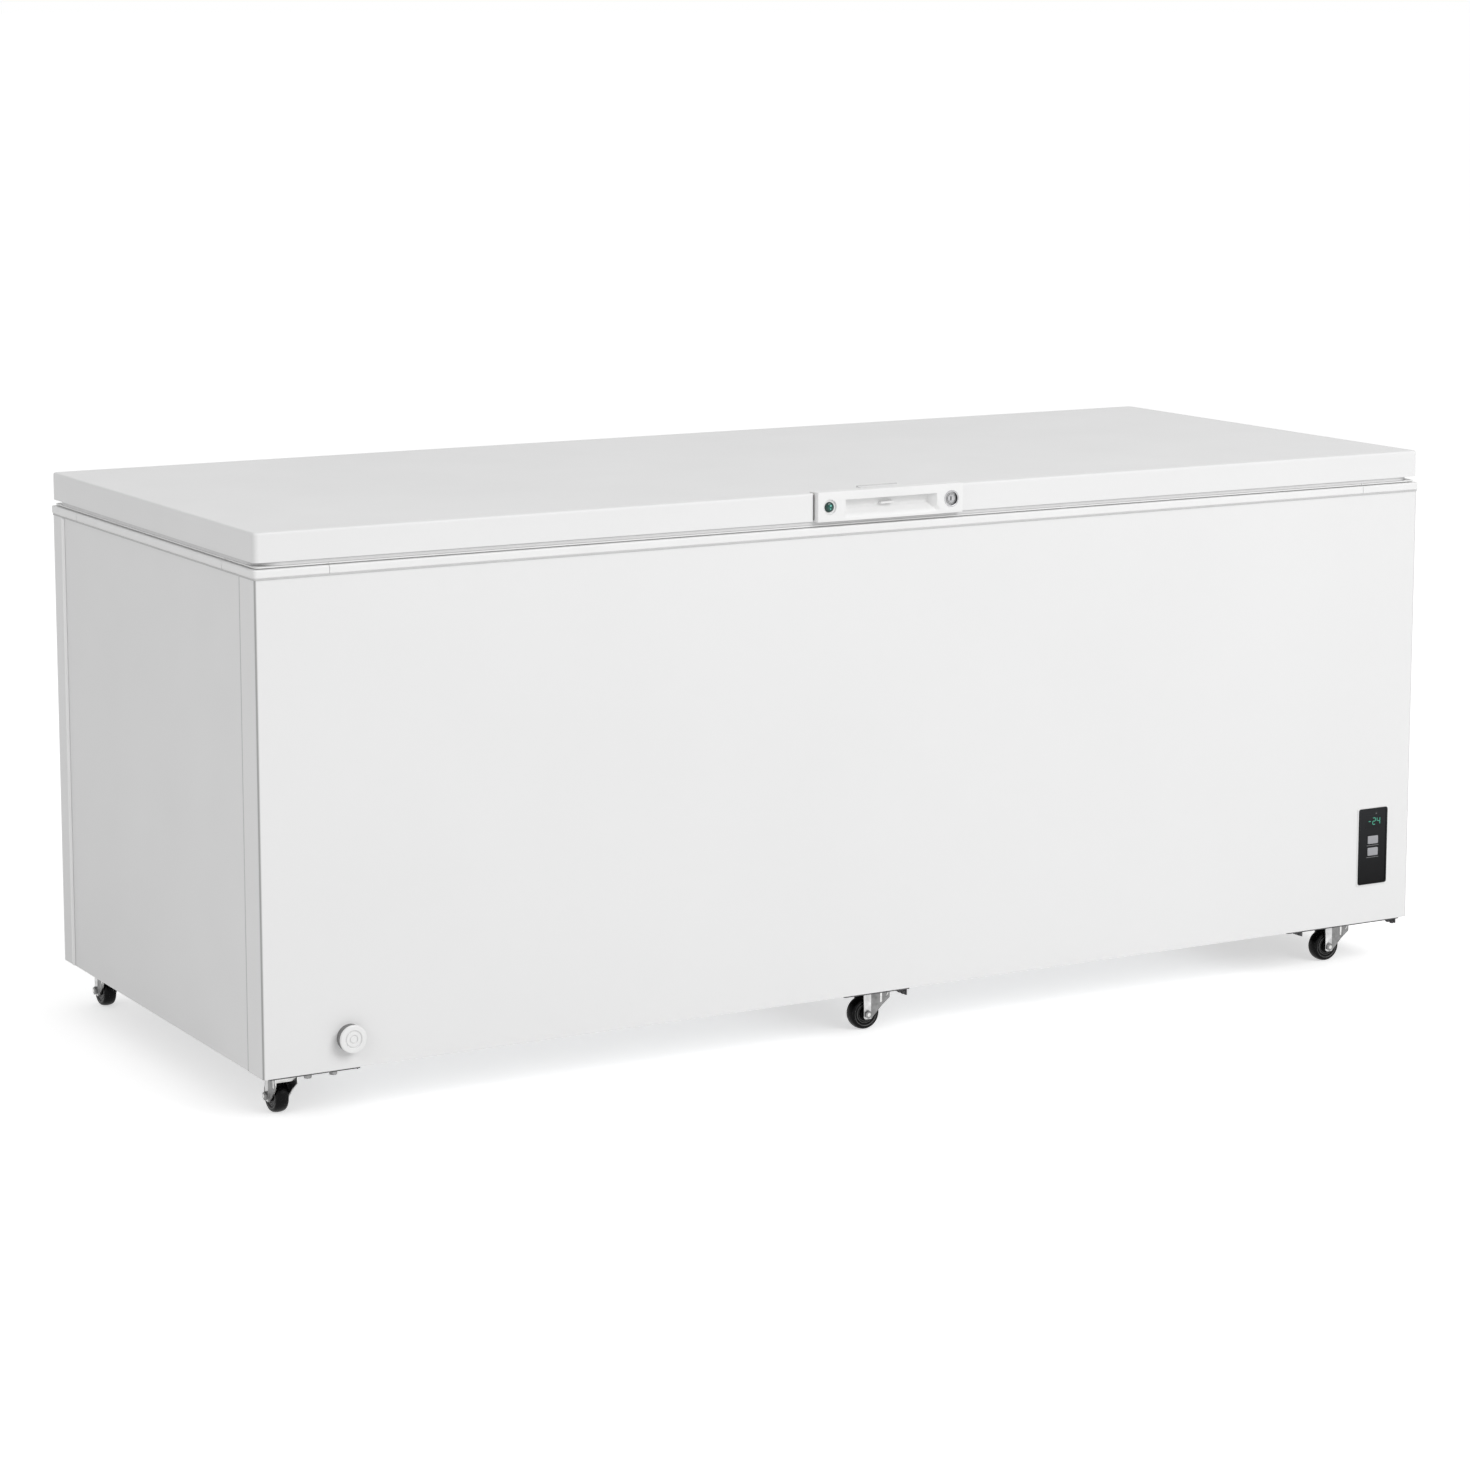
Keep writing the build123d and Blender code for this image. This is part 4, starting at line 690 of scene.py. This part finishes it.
# painted shade in the groove round the plug
paintFaces(lockBarrel, dullAndShadedZinc, lambda c, n: ringFrom < fromLock(c) < ringTo)
settle(lockBarrel, "lid", None, "lock_chrome", "lock_barrel")
plugFace = turnPiece("plugFace", lockTurning["plug"], 48, towardsFront, lockSeat)
wide, tall = lockTurning["slotWide"] / 2, lockTurning["slotTall"] / 2
slotEdge, slotFrom = lockTurning["slotEdge"], handleFront + lockTurning["slotFrom"]
keySlot = newBlock("keySlot", (lockAt.x - wide, handleFront - lockTurning["slotAhead"], lockAt.z - tall),
                   (lockAt.x + wide, handleFront + lockTurning["slotDeep"], lockAt.z + tall))
carve(plugFace, keySlot)
coat(plugFace, finishes["lock_chrome"])
# painted shade inside the key slot
paintFaces(plugFace, finishes["black_enamel"], lambda c, n: abs(c.x - lockAt.x) < wide + slotEdge
           and abs(c.z - lockAt.z) < tall + slotEdge and c.y > slotFrom)
settle(plugFace, "lock", None, "lock_chrome")
print("lamp and lock done")


# Drain dial: stepped knob with a hub ring, and painted shade on its sides

dialKnob = {
    "back": [(11.4, 9.2), (11.4, -1.4)],
    "face": [(19.2, -1.4), (19.2, 10.2), (20.0, 10.4), (20.0, 12.7), (19.6, 13.5), (18.8, 13.9), (17.6, 14.0),
             (13.4, 14.0), (12.8, 13.5), (12.5, 12.2), (11.3, 12.2), (11.0, 13.4), (10.4, 13.9), (6.6, 13.9),
             (6.2, 13.5), (6.0, 12.4), (5.0, 12.4), (4.8, 13.5), (4.4, 13.8)],
    "capFrom": 10.3, "steep": 0.5,
}
dialLow, dialHigh = (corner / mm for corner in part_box("drain_dial"))
dialAt = ((dialLow.x + dialHigh.x) / 2, dialHigh.y, (dialLow.z + dialHigh.z) / 2)
drainDial = turnPiece("drainDial", dialKnob["back"] + dialKnob["face"], 72, towardsFront, dialAt)
coat(drainDial, finishes["white_plastic"])
# painted shade: the cap's sides near the front are coloured dark for the shade on them
paintFaces(drainDial, dialSideShade,
           lambda c, n: c.y > dialHigh.y - dialKnob["capFrom"] and abs(n.y) < dialKnob["steep"])
settle(drainDial, "drain_dial", None, "white_plastic", "drain_dial")
print("drain dial done")


# Castors: one fork and one wheel are modelled about the king pin, trailing along +X, and copied

castorShape = {
    "wheelRadius": 25.0, "wheelHalf": 10.0, "treadHalf": 1.4, "trail": 18.0,
    # each point of the wheel's side: its radius, and how far it stands past the half width
    "wheelSide": [(3.06, 0.6), (7.4, 0.6), (8.0, 0.2), (8.5, -1.8), (11.4, -1.8), (11.8, -1.0), (12.3, -0.8),
                  (14.0, -0.8), (14.5, -1.0), (15.0, -1.8), (18.0, -1.8), (18.5, -0.4), (19.2, -0.1),
                  (20.6, 0.0), (22.2, -0.5), (23.5, -1.8), (24.2, -3.4), (24.7, -6.0)],
    "highlightRings": ((11.3, 12.2), (14.0, 15.1), (18.0, 18.9)),
    "legOut": 15.2, "legThick": 1.8, "legDrop": 8.0, "footRound": 4.5, "stripHalf": 6.5, "front": -20.0,
    "knee": (-3.0, 31.0), "shoulder": 58.0, "step": 1.0, "stepFrom": 0.5, "stepTo": 1.5,
    "flare": 3.2, "flareFrom": 2.0, "sheetEdge": 0.5, "sideOn": 0.3,
    "ribAt": -6.0, "ribHalf": 1.8, "ribSink": 0.6, "ribProud": 0.9, "ribLow": 16.0, "ribDrop": 4.0,
    "ribEdge": 0.85,
    "crownTop": 66.2, "crownThick": 3.6, "crownRound": 2.4, "crownLeast": 5.0,
    "noseLow": 50.5, "noseDrop": 2.0, "noseEase": 0.5, "noseBend": 4.7,
    "raceway": [(16.4, 0.0), (16.4, -2.0), (15.0, -3.4), (9.0, -3.6), (9.0, 0.0)], "racewaySeat": 0.4,
    "head": [(6.4, 0), (6.4, 2.8), (5.6, 3.5), (2.0, 3.7)],
    "nut": [(6.4, 0), (6.4, 3.4), (5.6, 4.0), (3.0, 4.0)],
    "axle": 3.0, "axlePast": 4.6, "axleAhead": 0.5,
    "headings": {"front_left": 90, "back_left": 90, "front_middle": 180, "back_middle": 180,
                 "front_right": 180, "back_right": 180},
}


def makeWheel(shape):
    r, trail, tread = shape["wheelRadius"], shape["trail"], shape["treadHalf"]
    oneSide = [(radius, shape["wheelHalf"] + past) for radius, past in shape["wheelSide"]]
    farSide = [(radius, -height) for radius, height in reversed(oneSide)]
    ring = oneSide + [(r, tread), (r, -tread)] + farSide + [oneSide[0]]
    wheel = turnPiece("castorWheel", ring, 72, towardsFront, (trail, 0, r), closed=True)
    coat(wheel, finishes["wheel_black"])
    # painted highlights: the rings' faces are lighter grey for the light they catch
    for near, far in shape["highlightRings"]:
        paintFaces(wheel, ringHighlightGrey, lambda c, n: near < math.hypot(c.x - trail, c.z - r) < far)
    return wheel


def makeLeg(shape, side):  # a flat strip down to the axle, and a wing stepped in from it with a pressed rib
    r, trail, top, front = shape["wheelRadius"], shape["trail"], shape["crownTop"], shape["front"]
    foot = r - shape["legDrop"]
    edge = trail - shape["stripHalf"]
    stepFrom, stepTo = edge + shape["stepFrom"], edge - shape["stepTo"]
    inner, outer = sorted((side * (shape["legOut"] - shape["legThick"]), side * shape["legOut"]))
    leg = newBlock("leg", (front, inner, foot), (trail + shape["stripHalf"], outer, top))
    kneeX, kneeZ = shape["knee"]
    knee = (kneeX, 0, kneeZ)
    slicePiece(leg, knee, (foot - kneeZ, 0, kneeX - edge), drop=True)
    slicePiece(leg, knee, (kneeZ - shape["shoulder"], 0, front - kneeX), drop=True)
    roundEdges(leg, shape["footRound"], 5, lambda a, b: runs("Y", a, b) and a.z < foot + endBand)
    for x in (stepFrom, stepTo, shape["ribAt"] - shape["flareFrom"]):
        slicePiece(leg, (x, 0, 0), (1, 0, 0))
    pickFaces(leg, lambda c, n: c.x < stepTo + slack)
    bpy.ops.transform.translate(value=(0, -side * shape["step"] * mm, 0))
    shiftEdges(leg, (0, side * shape["flare"], 0), lambda a, b: max(a.x, b.x) < front + endBand)
    coat(leg, finishes["zinc"])
    # painted light: the zinc is darker on outward faces, darker still on the wing and darkest on inward
    # faces, for the shade and dark reflections on them
    paintFaces(leg, sideShadeZinc, lambda c, n: n.y * side > shape["sideOn"])
    paintFaces(leg, dullAndShadedZinc, lambda c, n: c.x < stepFrom - slack and n.y * side > shape["sideOn"])
    paintFaces(leg, paintedShadeSteel, lambda c, n: n.y * side < -shape["sideOn"])
    soften(leg, shape["sheetEdge"], steps=2, angle=25)
    face = side * (shape["legOut"] - shape["step"])
    low, high = sorted((face - side * shape["ribSink"], face + side * shape["ribProud"]))
    rib = newBlock("rib", (shape["ribAt"] - shape["ribHalf"], low, r + shape["ribLow"]),
                   (shape["ribAt"] + shape["ribHalf"], high, top - shape["ribDrop"]))
    coat(rib, finishes["zinc"])
    soften(rib, shape["ribEdge"])
    return joinTo(leg, rib)


def makeFork(shape):
    top, out, front = shape["crownTop"], shape["legOut"], shape["front"]
    trail, axleZ = shape["trail"], shape["wheelRadius"]
    back = trail + shape["stripHalf"]
    under = top - shape["crownThick"]
    crown = newBlock("castorFork", (front, -out, under), (back, out, top))
    roundEdges(crown, shape["crownRound"], 4,
               lambda a, b: runs("X", a, b, shape["crownLeast"]) and a.z > top - endBand)
    soften(crown, shape["sheetEdge"], steps=2, angle=50)
    half = out - shape["step"] + shape["flare"] - shape["noseEase"]
    nose = newBlock("nose", (front, -half, shape["noseLow"]),
                    (front + shape["legThick"], half, top - shape["noseDrop"]))
    slicePiece(nose, (0, 0, shape["shoulder"]), (0, 0, 1))
    shiftEdges(nose, (shape["noseBend"], 0, 0), lambda a, b: max(a.z, b.z) < shape["noseLow"] + slack)
    soften(nose, shape["sheetEdge"], steps=2, angle=50)
    raceway = turnPiece("raceway", shape["raceway"], 48, at=(0, 0, under + shape["racewaySeat"]))
    head = turnPiece("head", shape["head"], 6, towardsFront, (trail, -out, axleZ))
    nut = turnPiece("nut", shape["nut"], 6, towardsBack, (trail, out, axleZ))
    axleTurning = [(shape["axle"], -2 * out - shape["axlePast"]), (shape["axle"], shape["axleAhead"])]
    axle = turnPiece("axle", axleTurning, 24, towardsFront, (trail, -out, axleZ))
    for piece in (crown, nose, raceway, axle):
        coat(piece, finishes["zinc"])
    for piece in (head, nut):
        coat(piece, dullAndShadedZinc)
    return joinTo(crown, *[makeLeg(shape, side) for side in (-1, 1)], nose, raceway, head, nut, axle)


wheelMaster = makeWheel(castorShape)
forkMaster = makeFork(castorShape)
castorMasters = {"Fork": (forkMaster, "zinc"), "Wheel": (wheelMaster, "wheel_black")}
for place, heading in castorShape["headings"].items():
    low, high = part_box("castor_wheel_" + place)
    axis = (low + high) / 2
    turn = math.radians(heading)
    trail = castorShape["trail"] * mm
    king = (axis.x - trail * math.cos(turn), axis.y - trail * math.sin(turn), 0)
    for word, (master, slotName) in castorMasters.items():
        node = "castor_" + word.lower() + "_" + place
        twin = copyPiece(master, "castor" + word + place.title().replace("_", ""))
        twin.rotation_euler = (0, 0, turn)
        twin.location = king
        applyPlace(twin)
        settle(twin, node, None, slotName, node)
for master in (wheelMaster, forkMaster):
    bpy.data.objects.remove(master)
print("castors done")


# Hexagon bolts: ones in painted shade at the front of the plates' turned-down edges, dull ones under the left
# plate

flangeBolts = {"head": [(5.2, 0), (5.2, 3.0), (4.6, 3.6), (1.5, 3.8)], "ys": (-384.0, -373.5), "drop": 5.6}
plateBolts = {
    "head": [(7.6, 0), (7.6, -1.4), (6.2, -1.5), (6.2, -6.4), (5.4, -7.2), (1.6, -7.4)],
    "xs": (-927.5, -889.0), "ys": (-384.0, 384.0), "turn": 30,
}
plateSheet = 2.0


def placeBolts(name, head, facing, finish, spots):
    master = turnPiece(name, head, 6, facing)
    coat(master, finish)
    placed = []
    for spot in spots:
        bolt = copyPiece(master, "bolt")
        bolt.location = Vector(spot) * mm
        applyPlace(bolt)
        placed.append(bolt)
    bpy.data.objects.remove(master)
    return placed


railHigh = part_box("support_rails")[1] / mm
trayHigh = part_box("compressor_tray")[1] / mm
flangeSpots = [(edge.x - plateSheet, y, edge.z - plateSheet - flangeBolts["drop"])
               for edge in (railHigh, trayHigh) for y in flangeBolts["ys"]]
plateSpots = [(x, y, railHigh.z - plateSheet) for x in plateBolts["xs"] for y in plateBolts["ys"]]
bolts = placeBolts("flangeBolt", flangeBolts["head"], (0, -90, 0), paintedShadeSteel, flangeSpots)
bolts += placeBolts("plateBolt", plateBolts["head"], (0, 0, plateBolts["turn"]), dullAndShadedZinc, plateSpots)
railBolts = joinAs("railBolts", bolts)
settle(railBolts, "cabinet", None, "zinc")
print("bolts done")


# Display: three lit figures on the window

displayFigures = {
    "tall": 10.6, "wide": 5.6, "stroke": 1.1, "step": 8.8, "left": -9.6, "rise": 0.6, "depth": 0.25,
    "flatShort": 1.2, "uprightShort": 0.4, "clip": 0.3,  # shares of the stroke
    "figures": ("minus", "2", "4"),
}
strokesOn = {"minus": "g", "2": "abged", "4": "fgbc"}
strokeSpots = {"a": (0.5, 1.0), "g": (0.5, 0.5), "d": (0.5, 0.0), "f": (0.0, 0.75), "b": (1.0, 0.75),
               "e": (0.0, 0.25), "c": (1.0, 0.25)}  # shares of the width and the height


def makeFigure(shape, figure, left, bottom, front):
    w, h, s = shape["wide"], shape["tall"], shape["stroke"]
    flatHalf = ((w - s * shape["flatShort"]) / 2, s / 2)
    uprightHalf = (s / 2, (h / 2 - s * shape["uprightShort"]) / 2)
    bars = []
    for key in strokesOn[figure]:
        u, v = strokeSpots[key]
        across, up = flatHalf if key in "agd" else uprightHalf
        x, z = left + u * w, bottom + v * h
        bar = newBlock("bar", (x - across, front - shape["depth"], z - up), (x + across, front, z + up))
        roundEdges(bar, s * shape["clip"], 1, lambda a, b: runs("Y", a, b, slack))
        bars.append(bar)
    return joinTo(*bars) if len(bars) > 1 else bars[0]


windowLow, windowHigh = (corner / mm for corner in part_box("display_window"))
windowX = (windowLow.x + windowHigh.x) / 2
windowZ = (windowLow.z + windowHigh.z) / 2
litGreen = litDigit("litGreen", (0.06, 0.34, 0.23), strength=0.34)
shown = []
for count, figure in enumerate(displayFigures["figures"]):
    left = windowX + displayFigures["left"] + count * displayFigures["step"]
    bottom = windowZ - displayFigures["tall"] / 2 + displayFigures["rise"]
    shown.append(makeFigure(displayFigures, figure, left, bottom, windowLow.y))
litFigures = joinAs("litFigures", shown)
settle(litFigures, "cabinet", litGreen, "lamp_green")
print("display done")


# Bezel round the fascia, and plain printed marks on it

bezelShape = {"outside": 1.4, "inside": 1.5, "proud": 0.9, "sink": 1.2, "corner": 3.6, "edge": 0.4, "past": 9}
markShape = {
    "past": 2.0, "foot": 3.4, "head": 2.5, "proud": 0.15, "sink": 0.1,
    "tickAt": (6.0, 251.0), "tickSize": 1.7, "tickFacing": (90, -30, 0),
}
faceLow, faceHigh = fasciaLow / mm, fasciaHigh / mm
grow, shrink, past = bezelShape["outside"], bezelShape["inside"], bezelShape["past"]
bezel = newBlock("fasciaBezel", (faceLow.x - grow, faceLow.y - bezelShape["proud"], faceLow.z - grow),
                 (faceHigh.x + grow, faceLow.y + bezelShape["sink"], faceHigh.z + grow))
middle = newBlock("middle", (faceLow.x + shrink, faceLow.y - past, faceLow.z + shrink),
                  (faceHigh.x - shrink, faceLow.y + past, faceHigh.z - shrink))
for block in (bezel, middle):
    roundEdges(block, bezelShape["corner"], 6, lambda a, b: runs("Y", a, b))
carve(bezel, middle)
soften(bezel, bezelShape["edge"], angle=50)
settle(bezel, "cabinet", finishes["black_gloss"], "black_gloss")
markFront, markBack = faceLow.y - markShape["proud"], faceLow.y + markShape["sink"]
marks = []
for node in ("temperature_button", "mode_button"):
    low, high = (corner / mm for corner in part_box(node))
    marks.append(newBlock("mark", (low.x - markShape["past"], markFront, low.z - markShape["foot"]),
                          (high.x + markShape["past"], markBack, low.z - markShape["head"])))
tickX, tickZ = markShape["tickAt"]
tickTurning = [(markShape["tickSize"], -markShape["sink"]), (markShape["tickSize"], markShape["proud"])]
tick = turnPiece("tick", tickTurning, 3, markShape["tickFacing"], (windowX + tickX, faceLow.y, tickZ))
printedMarks = joinAs("printedMarks", marks + [tick])
settle(printedMarks, "cabinet", markGrey, "button_grey")
print("bezel done")


# Buttons: pillowed keys

keyShape = {"corner": 1.4, "border": 0.8, "rise": 0.35, "edge": 0.3}


def makeKey(shape, node, name):
    low, high = (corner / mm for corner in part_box(node))
    key = newBlock(name, low, high)
    roundEdges(key, shape["corner"], 5, lambda a, b: runs("Y", a, b))
    pickFaces(key, lambda c, n: facesFront(n))
    bpy.ops.mesh.inset(thickness=shape["border"] * mm)
    bpy.ops.transform.translate(value=(0, -shape["rise"] * mm, 0))
    closeMesh()
    soften(key, shape["edge"], angle=25)
    coat(key, finishes["button_grey"])
    paintFaces(key, keyGrey, lambda c, n: c.y < low.y - slack and facesFront(n))
    return key


for node, name in (("temperature_button", "temperatureKey"), ("mode_button", "modeKey")):
    settle(makeKey(keyShape, node, name), node, None, "button_grey", node)
print("buttons done")


# Seals and painted lines: a soft fin in the lid's gap, a grey bead under the rim's trim that paints the
# shadow line there, and thin strips down the side seams that paint the front seam's shade grey and the rear
# seam's highlight white

sealShape = {
    "inset": 2.6, "finThick": 1.6, "finBend": 40.0, "finLow": 788.0, "finLap": 0.3,
    "beadLow": 769.6, "beadHigh": 772.0, "beadThick": 1.8, "beadBend": 4.6, "proud": 0.9, "past": 9,
}
seamStrips = {
    "low": 74.0, "high": 769.0, "slant": 0.99,
    # painted shade on the front strip, painted highlight on the rear strip
    "strips": ((-346.2, -344.0, 0.3, shadeLineGrey), (348.4, 355.6, 2.1, highlightWhite)),  # near, far, proud, finish
}


def makeRing(name, low, high, bend, thick):  # an upright band with rounded corners
    past = sealShape["past"]
    ring = newBlock(name, low, high)
    hole = newBlock("hole", (low[0] + thick, low[1] + thick, low[2] - past),
                    (high[0] - thick, high[1] - thick, high[2] + past))
    for block, radius in ((ring, bend), (hole, bend - thick)):
        roundEdges(block, radius, 10, lambda a, b: runs("Z", a, b))
    carve(ring, hole)
    smoothOver(ring, angle=35)
    return ring


inset = sealShape["inset"]
finTop = lidLow.z + sealShape["finLap"]
sealFin = makeRing("sealFin", (lidLow.x + inset, lidLow.y + inset, sealShape["finLow"]),
                   (lidHigh.x - inset, lidHigh.y - inset, finTop),
                   sealShape["finBend"], sealShape["finThick"])
settle(sealFin, "lid", finPale, "gasket_grey")
beadX, beadY = (half + sealShape["proud"] for half in cabinetHalf.values())
# painted shade: a grey bead for the shadow line under the trim
trimShadeBead = makeRing("trimShadeBead", (-beadX, -beadY, sealShape["beadLow"]), (beadX, beadY, sealShape["beadHigh"]),
                    sealShape["beadBend"], sealShape["beadThick"])
settle(trimShadeBead, "cabinet", shadeLineGrey, "gasket_grey")
strips = []
for side in (-cabinetHalf["X"], cabinetHalf["X"]):
    for near, far, stand, finish in seamStrips["strips"]:
        strip = newBlock("strip", (side - stand, near, seamStrips["low"]),
                         (side + stand, far, seamStrips["high"]))
        slant = stand * seamStrips["slant"]  # it catches the light
        roundEdges(strip, slant, 1, lambda a, b: runs("Z", a, b) and a.y < near + slack)
        coat(strip, finish)
        strips.append(strip)
seamShadeAndHighlight = joinAs("seamShadeAndHighlight", strips)
settle(seamShadeAndHighlight, "cabinet", None, "gasket_grey")
print("seals and seams done")


# Baskets: coated wire, welded crosswise, with a stouter rim and hooks on the ledge

basketWire = {
    "thin": 1.5, "stout": 2.4, "corner": 14.0, "halfDeep": 314.0, "lengthwise": 7, "across": 15, "lift": 2.8,
    "rings": (0.36, 0.68), "smooth": 50,
    "hookReach": 26.0, "hookHalf": 19.0, "hookAt": 80.0, "hookLap": 3.0, "hookRound": 7.0, "hookThinner": 0.2,
}
arcSteps = 4


def roundPath(corners, radius):  # straight runs with an arc at each corner between them
    points = [Vector(corners[0])]
    for before, here, after in zip(corners, corners[1:], corners[2:]):
        here = Vector(here)
        start = (Vector(before) - here).normalized() * radius
        stop = (Vector(after) - here).normalized() * radius
        for step in range(arcSteps + 1):
            t = math.radians(90 * step / arcSteps)
            points.append(here + start * (1 - math.sin(t)) + stop * (1 - math.cos(t)))
    points.append(Vector(corners[-1]))
    return points


def bendWire(points, radius, closed=False):
    dropPicks()
    line = bpy.data.curves.new("wire", "CURVE")
    line.dimensions = "3D"
    line.bevel_depth = radius * mm
    line.bevel_resolution = 1
    line.use_fill_caps = True
    run = line.splines.new("POLY")
    run.points.add(len(points) - 1)
    for spot, point in zip(run.points, points):
        spot.co = (*(Vector(point) * mm), 1)
    run.use_cyclic_u = closed
    wire = bpy.data.objects.new("wire", line)
    bpy.context.scene.collection.objects.link(wire)
    takeUp(wire)
    bpy.ops.object.convert(target="MESH")
    wire = bpy.context.object
    openMesh(wire)
    bpy.ops.mesh.select_all(action="SELECT")
    bpy.ops.mesh.normals_make_consistent(inside=False)
    closeMesh()
    return wire


def spread(count, reach):  # evenly from one side to the other
    return [reach * (2 * place / (count - 1) - 1) for place in range(count)]


def makeBasket(shape, halfX, halfY, low, high):
    thin, stout, corner = shape["thin"], shape["stout"], shape["corner"]
    x1, y1 = halfX - thin, halfY - thin
    rim, bottom = high - stout, low + thin
    wires = []
    for x in spread(shape["lengthwise"], x1 - corner):
        path = [(x, -y1, rim), (x, -y1, bottom), (x, y1, bottom), (x, y1, rim)]
        wires.append(bendWire(roundPath(path, corner), thin))
    bottom = low + thin * shape["lift"]
    for y in spread(shape["across"], y1 - corner):
        path = [(-x1, y, rim), (-x1, y, bottom), (x1, y, bottom), (x1, y, rim)]
        wires.append(bendWire(roundPath(path, corner), thin))
    rings = [(low + (high - low) * part, thin, 2 * thin) for part in shape["rings"]]
    rings.append((rim, stout, stout - thin))
    for z, radius, inward in rings:
        a, b = x1 - inward, y1 - inward
        around = [(0, -b, z), (a, -b, z), (a, b, z), (-a, b, z), (-a, -b, z), (0, -b, z)]
        wires.append(bendWire(roundPath(around, corner)[:-1], radius, closed=True))
    for end in (-1, 1):
        near, far = end * (y1 - shape["hookLap"]), end * (y1 + shape["hookReach"])
        for at in (-shape["hookAt"], shape["hookAt"]):
            left, right = at - shape["hookHalf"], at + shape["hookHalf"]
            hook = [(left, near, rim), (left, far, rim), (right, far, rim), (right, near, rim)]
            wires.append(bendWire(roundPath(hook, shape["hookRound"]), stout - shape["hookThinner"]))
    basket = joinTo(*wires)
    smoothOver(basket, shape["smooth"])
    return basket


basketLow, basketHigh = (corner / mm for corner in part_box("basket_left"))
basketX = (basketLow.x + basketHigh.x) / 2
basketHalf = (basketHigh.x - basketLow.x) / 2
basketMaster = makeBasket(basketWire, basketHalf, basketWire["halfDeep"], basketLow.z, basketHigh.z)
for word, x in (("Left", basketX), ("Right", -basketX)):
    node = "basket_" + word.lower()
    twin = copyPiece(basketMaster, "wireBasket" + word)
    twin.location = (x * mm, 0, 0)
    applyPlace(twin)
    settle(twin, node, finishes["coated_wire"], "coated_wire", node)
bpy.data.objects.remove(basketMaster)
print("baskets done")


# Stage: pale floor that reads white to the camera and keeps the shadow

floorLook = {"reach": 400.0, "sides": 96, "colour": 0.8, "lift": 0.56}


def seenRays(tree):  # 1 for rays that look at the background
    rays = tree.nodes.new("ShaderNodeLightPath").outputs
    both = mathStep(tree, "MAXIMUM", rays["Is Camera Ray"], rays["Is Glossy Ray"])
    return mathStep(tree, "MAXIMUM", both, rays["Is Transmission Ray"])


dropPicks()
bpy.ops.mesh.primitive_circle_add(vertices=floorLook["sides"], radius=floorLook["reach"], fill_type="NGON",
                                  location=(0, 0, 0))
floor = bpy.context.object
floor.name = "studioFloor"
floorFinish = bpy.data.materials.new("studioFloor")
floorFinish.use_nodes = True
tree = floorFinish.node_tree
tree.nodes.clear()
surface = tree.nodes.new("ShaderNodeOutputMaterial")
together = tree.nodes.new("ShaderNodeAddShader")
matt = tree.nodes.new("ShaderNodeBsdfDiffuse")
matt.inputs["Color"].default_value = (floorLook["colour"],) * 3 + (1,)
glow = tree.nodes.new("ShaderNodeEmission")
tree.links.new(mapRange(tree, seenRays(tree), toHigh=floorLook["lift"]), glow.inputs["Strength"])
tree.links.new(matt.outputs["BSDF"], together.inputs[0])
tree.links.new(glow.outputs["Emission"], together.inputs[1])
tree.links.new(together.outputs["Shader"], surface.inputs["Surface"])
floor.data.materials.append(floorFinish)


# Light: an even room, one wide soft lamp from the front and right, and a weak one from the left

studio = {
    "room": 0.58, "white": 1.0, "aimAt": (0, 0, 0.45),
    "keyAt": (2.4, -6.2, 4.6), "keySize": 4.0, "keyPower": 262.0,
    "fillAt": (-5.4, -2.6, 3.0), "fillSize": 2.0, "fillPower": 30.0,
}
world = bpy.data.worlds.new("studioRoom")
bpy.context.scene.world = world
world.use_nodes = True
tree = world.node_tree
back = tree.nodes["Background"]
strength = mapRange(tree, seenRays(tree), toLow=studio["room"], toHigh=studio["white"])
tree.links.new(strength, back.inputs["Strength"])
back.inputs["Color"].default_value = (1, 1, 1, 1)
dropPicks()
for lampName in ("key", "fill"):
    bpy.ops.object.light_add(type="AREA", location=studio[lampName + "At"])
    lamp = bpy.context.object
    lamp.name = lampName + "Lamp"
    lamp.data.size = studio[lampName + "Size"]
    lamp.data.energy = studio[lampName + "Power"]
    lamp.rotation_euler = (Vector(studio["aimAt"]) - lamp.location).to_track_quat("-Z", "Y").to_euler()


# Camera at the photograph's view

cameraPlace = {
    "at": (-3.0177, -5.299, 1.5501), "yaw": 29.4286, "pitch": 8.5454,
    "lens": 96.1995, "sensor": 36, "shiftY": -0.1, "reach": 600,
}
dropPicks()
bpy.ops.object.camera_add(location=cameraPlace["at"])
camera = bpy.context.object
camera.name = "photoCamera"
camera.rotation_euler = (math.radians(90 - cameraPlace["pitch"]), 0, math.radians(-cameraPlace["yaw"]))
camera.data.sensor_width = cameraPlace["sensor"]
camera.data.lens = cameraPlace["lens"]
camera.data.shift_y = cameraPlace["shiftY"]
camera.data.clip_end = cameraPlace["reach"]
bpy.context.scene.camera = camera
bpy.context.scene.view_settings.view_transform = "Standard"
print("stage, light and camera set")
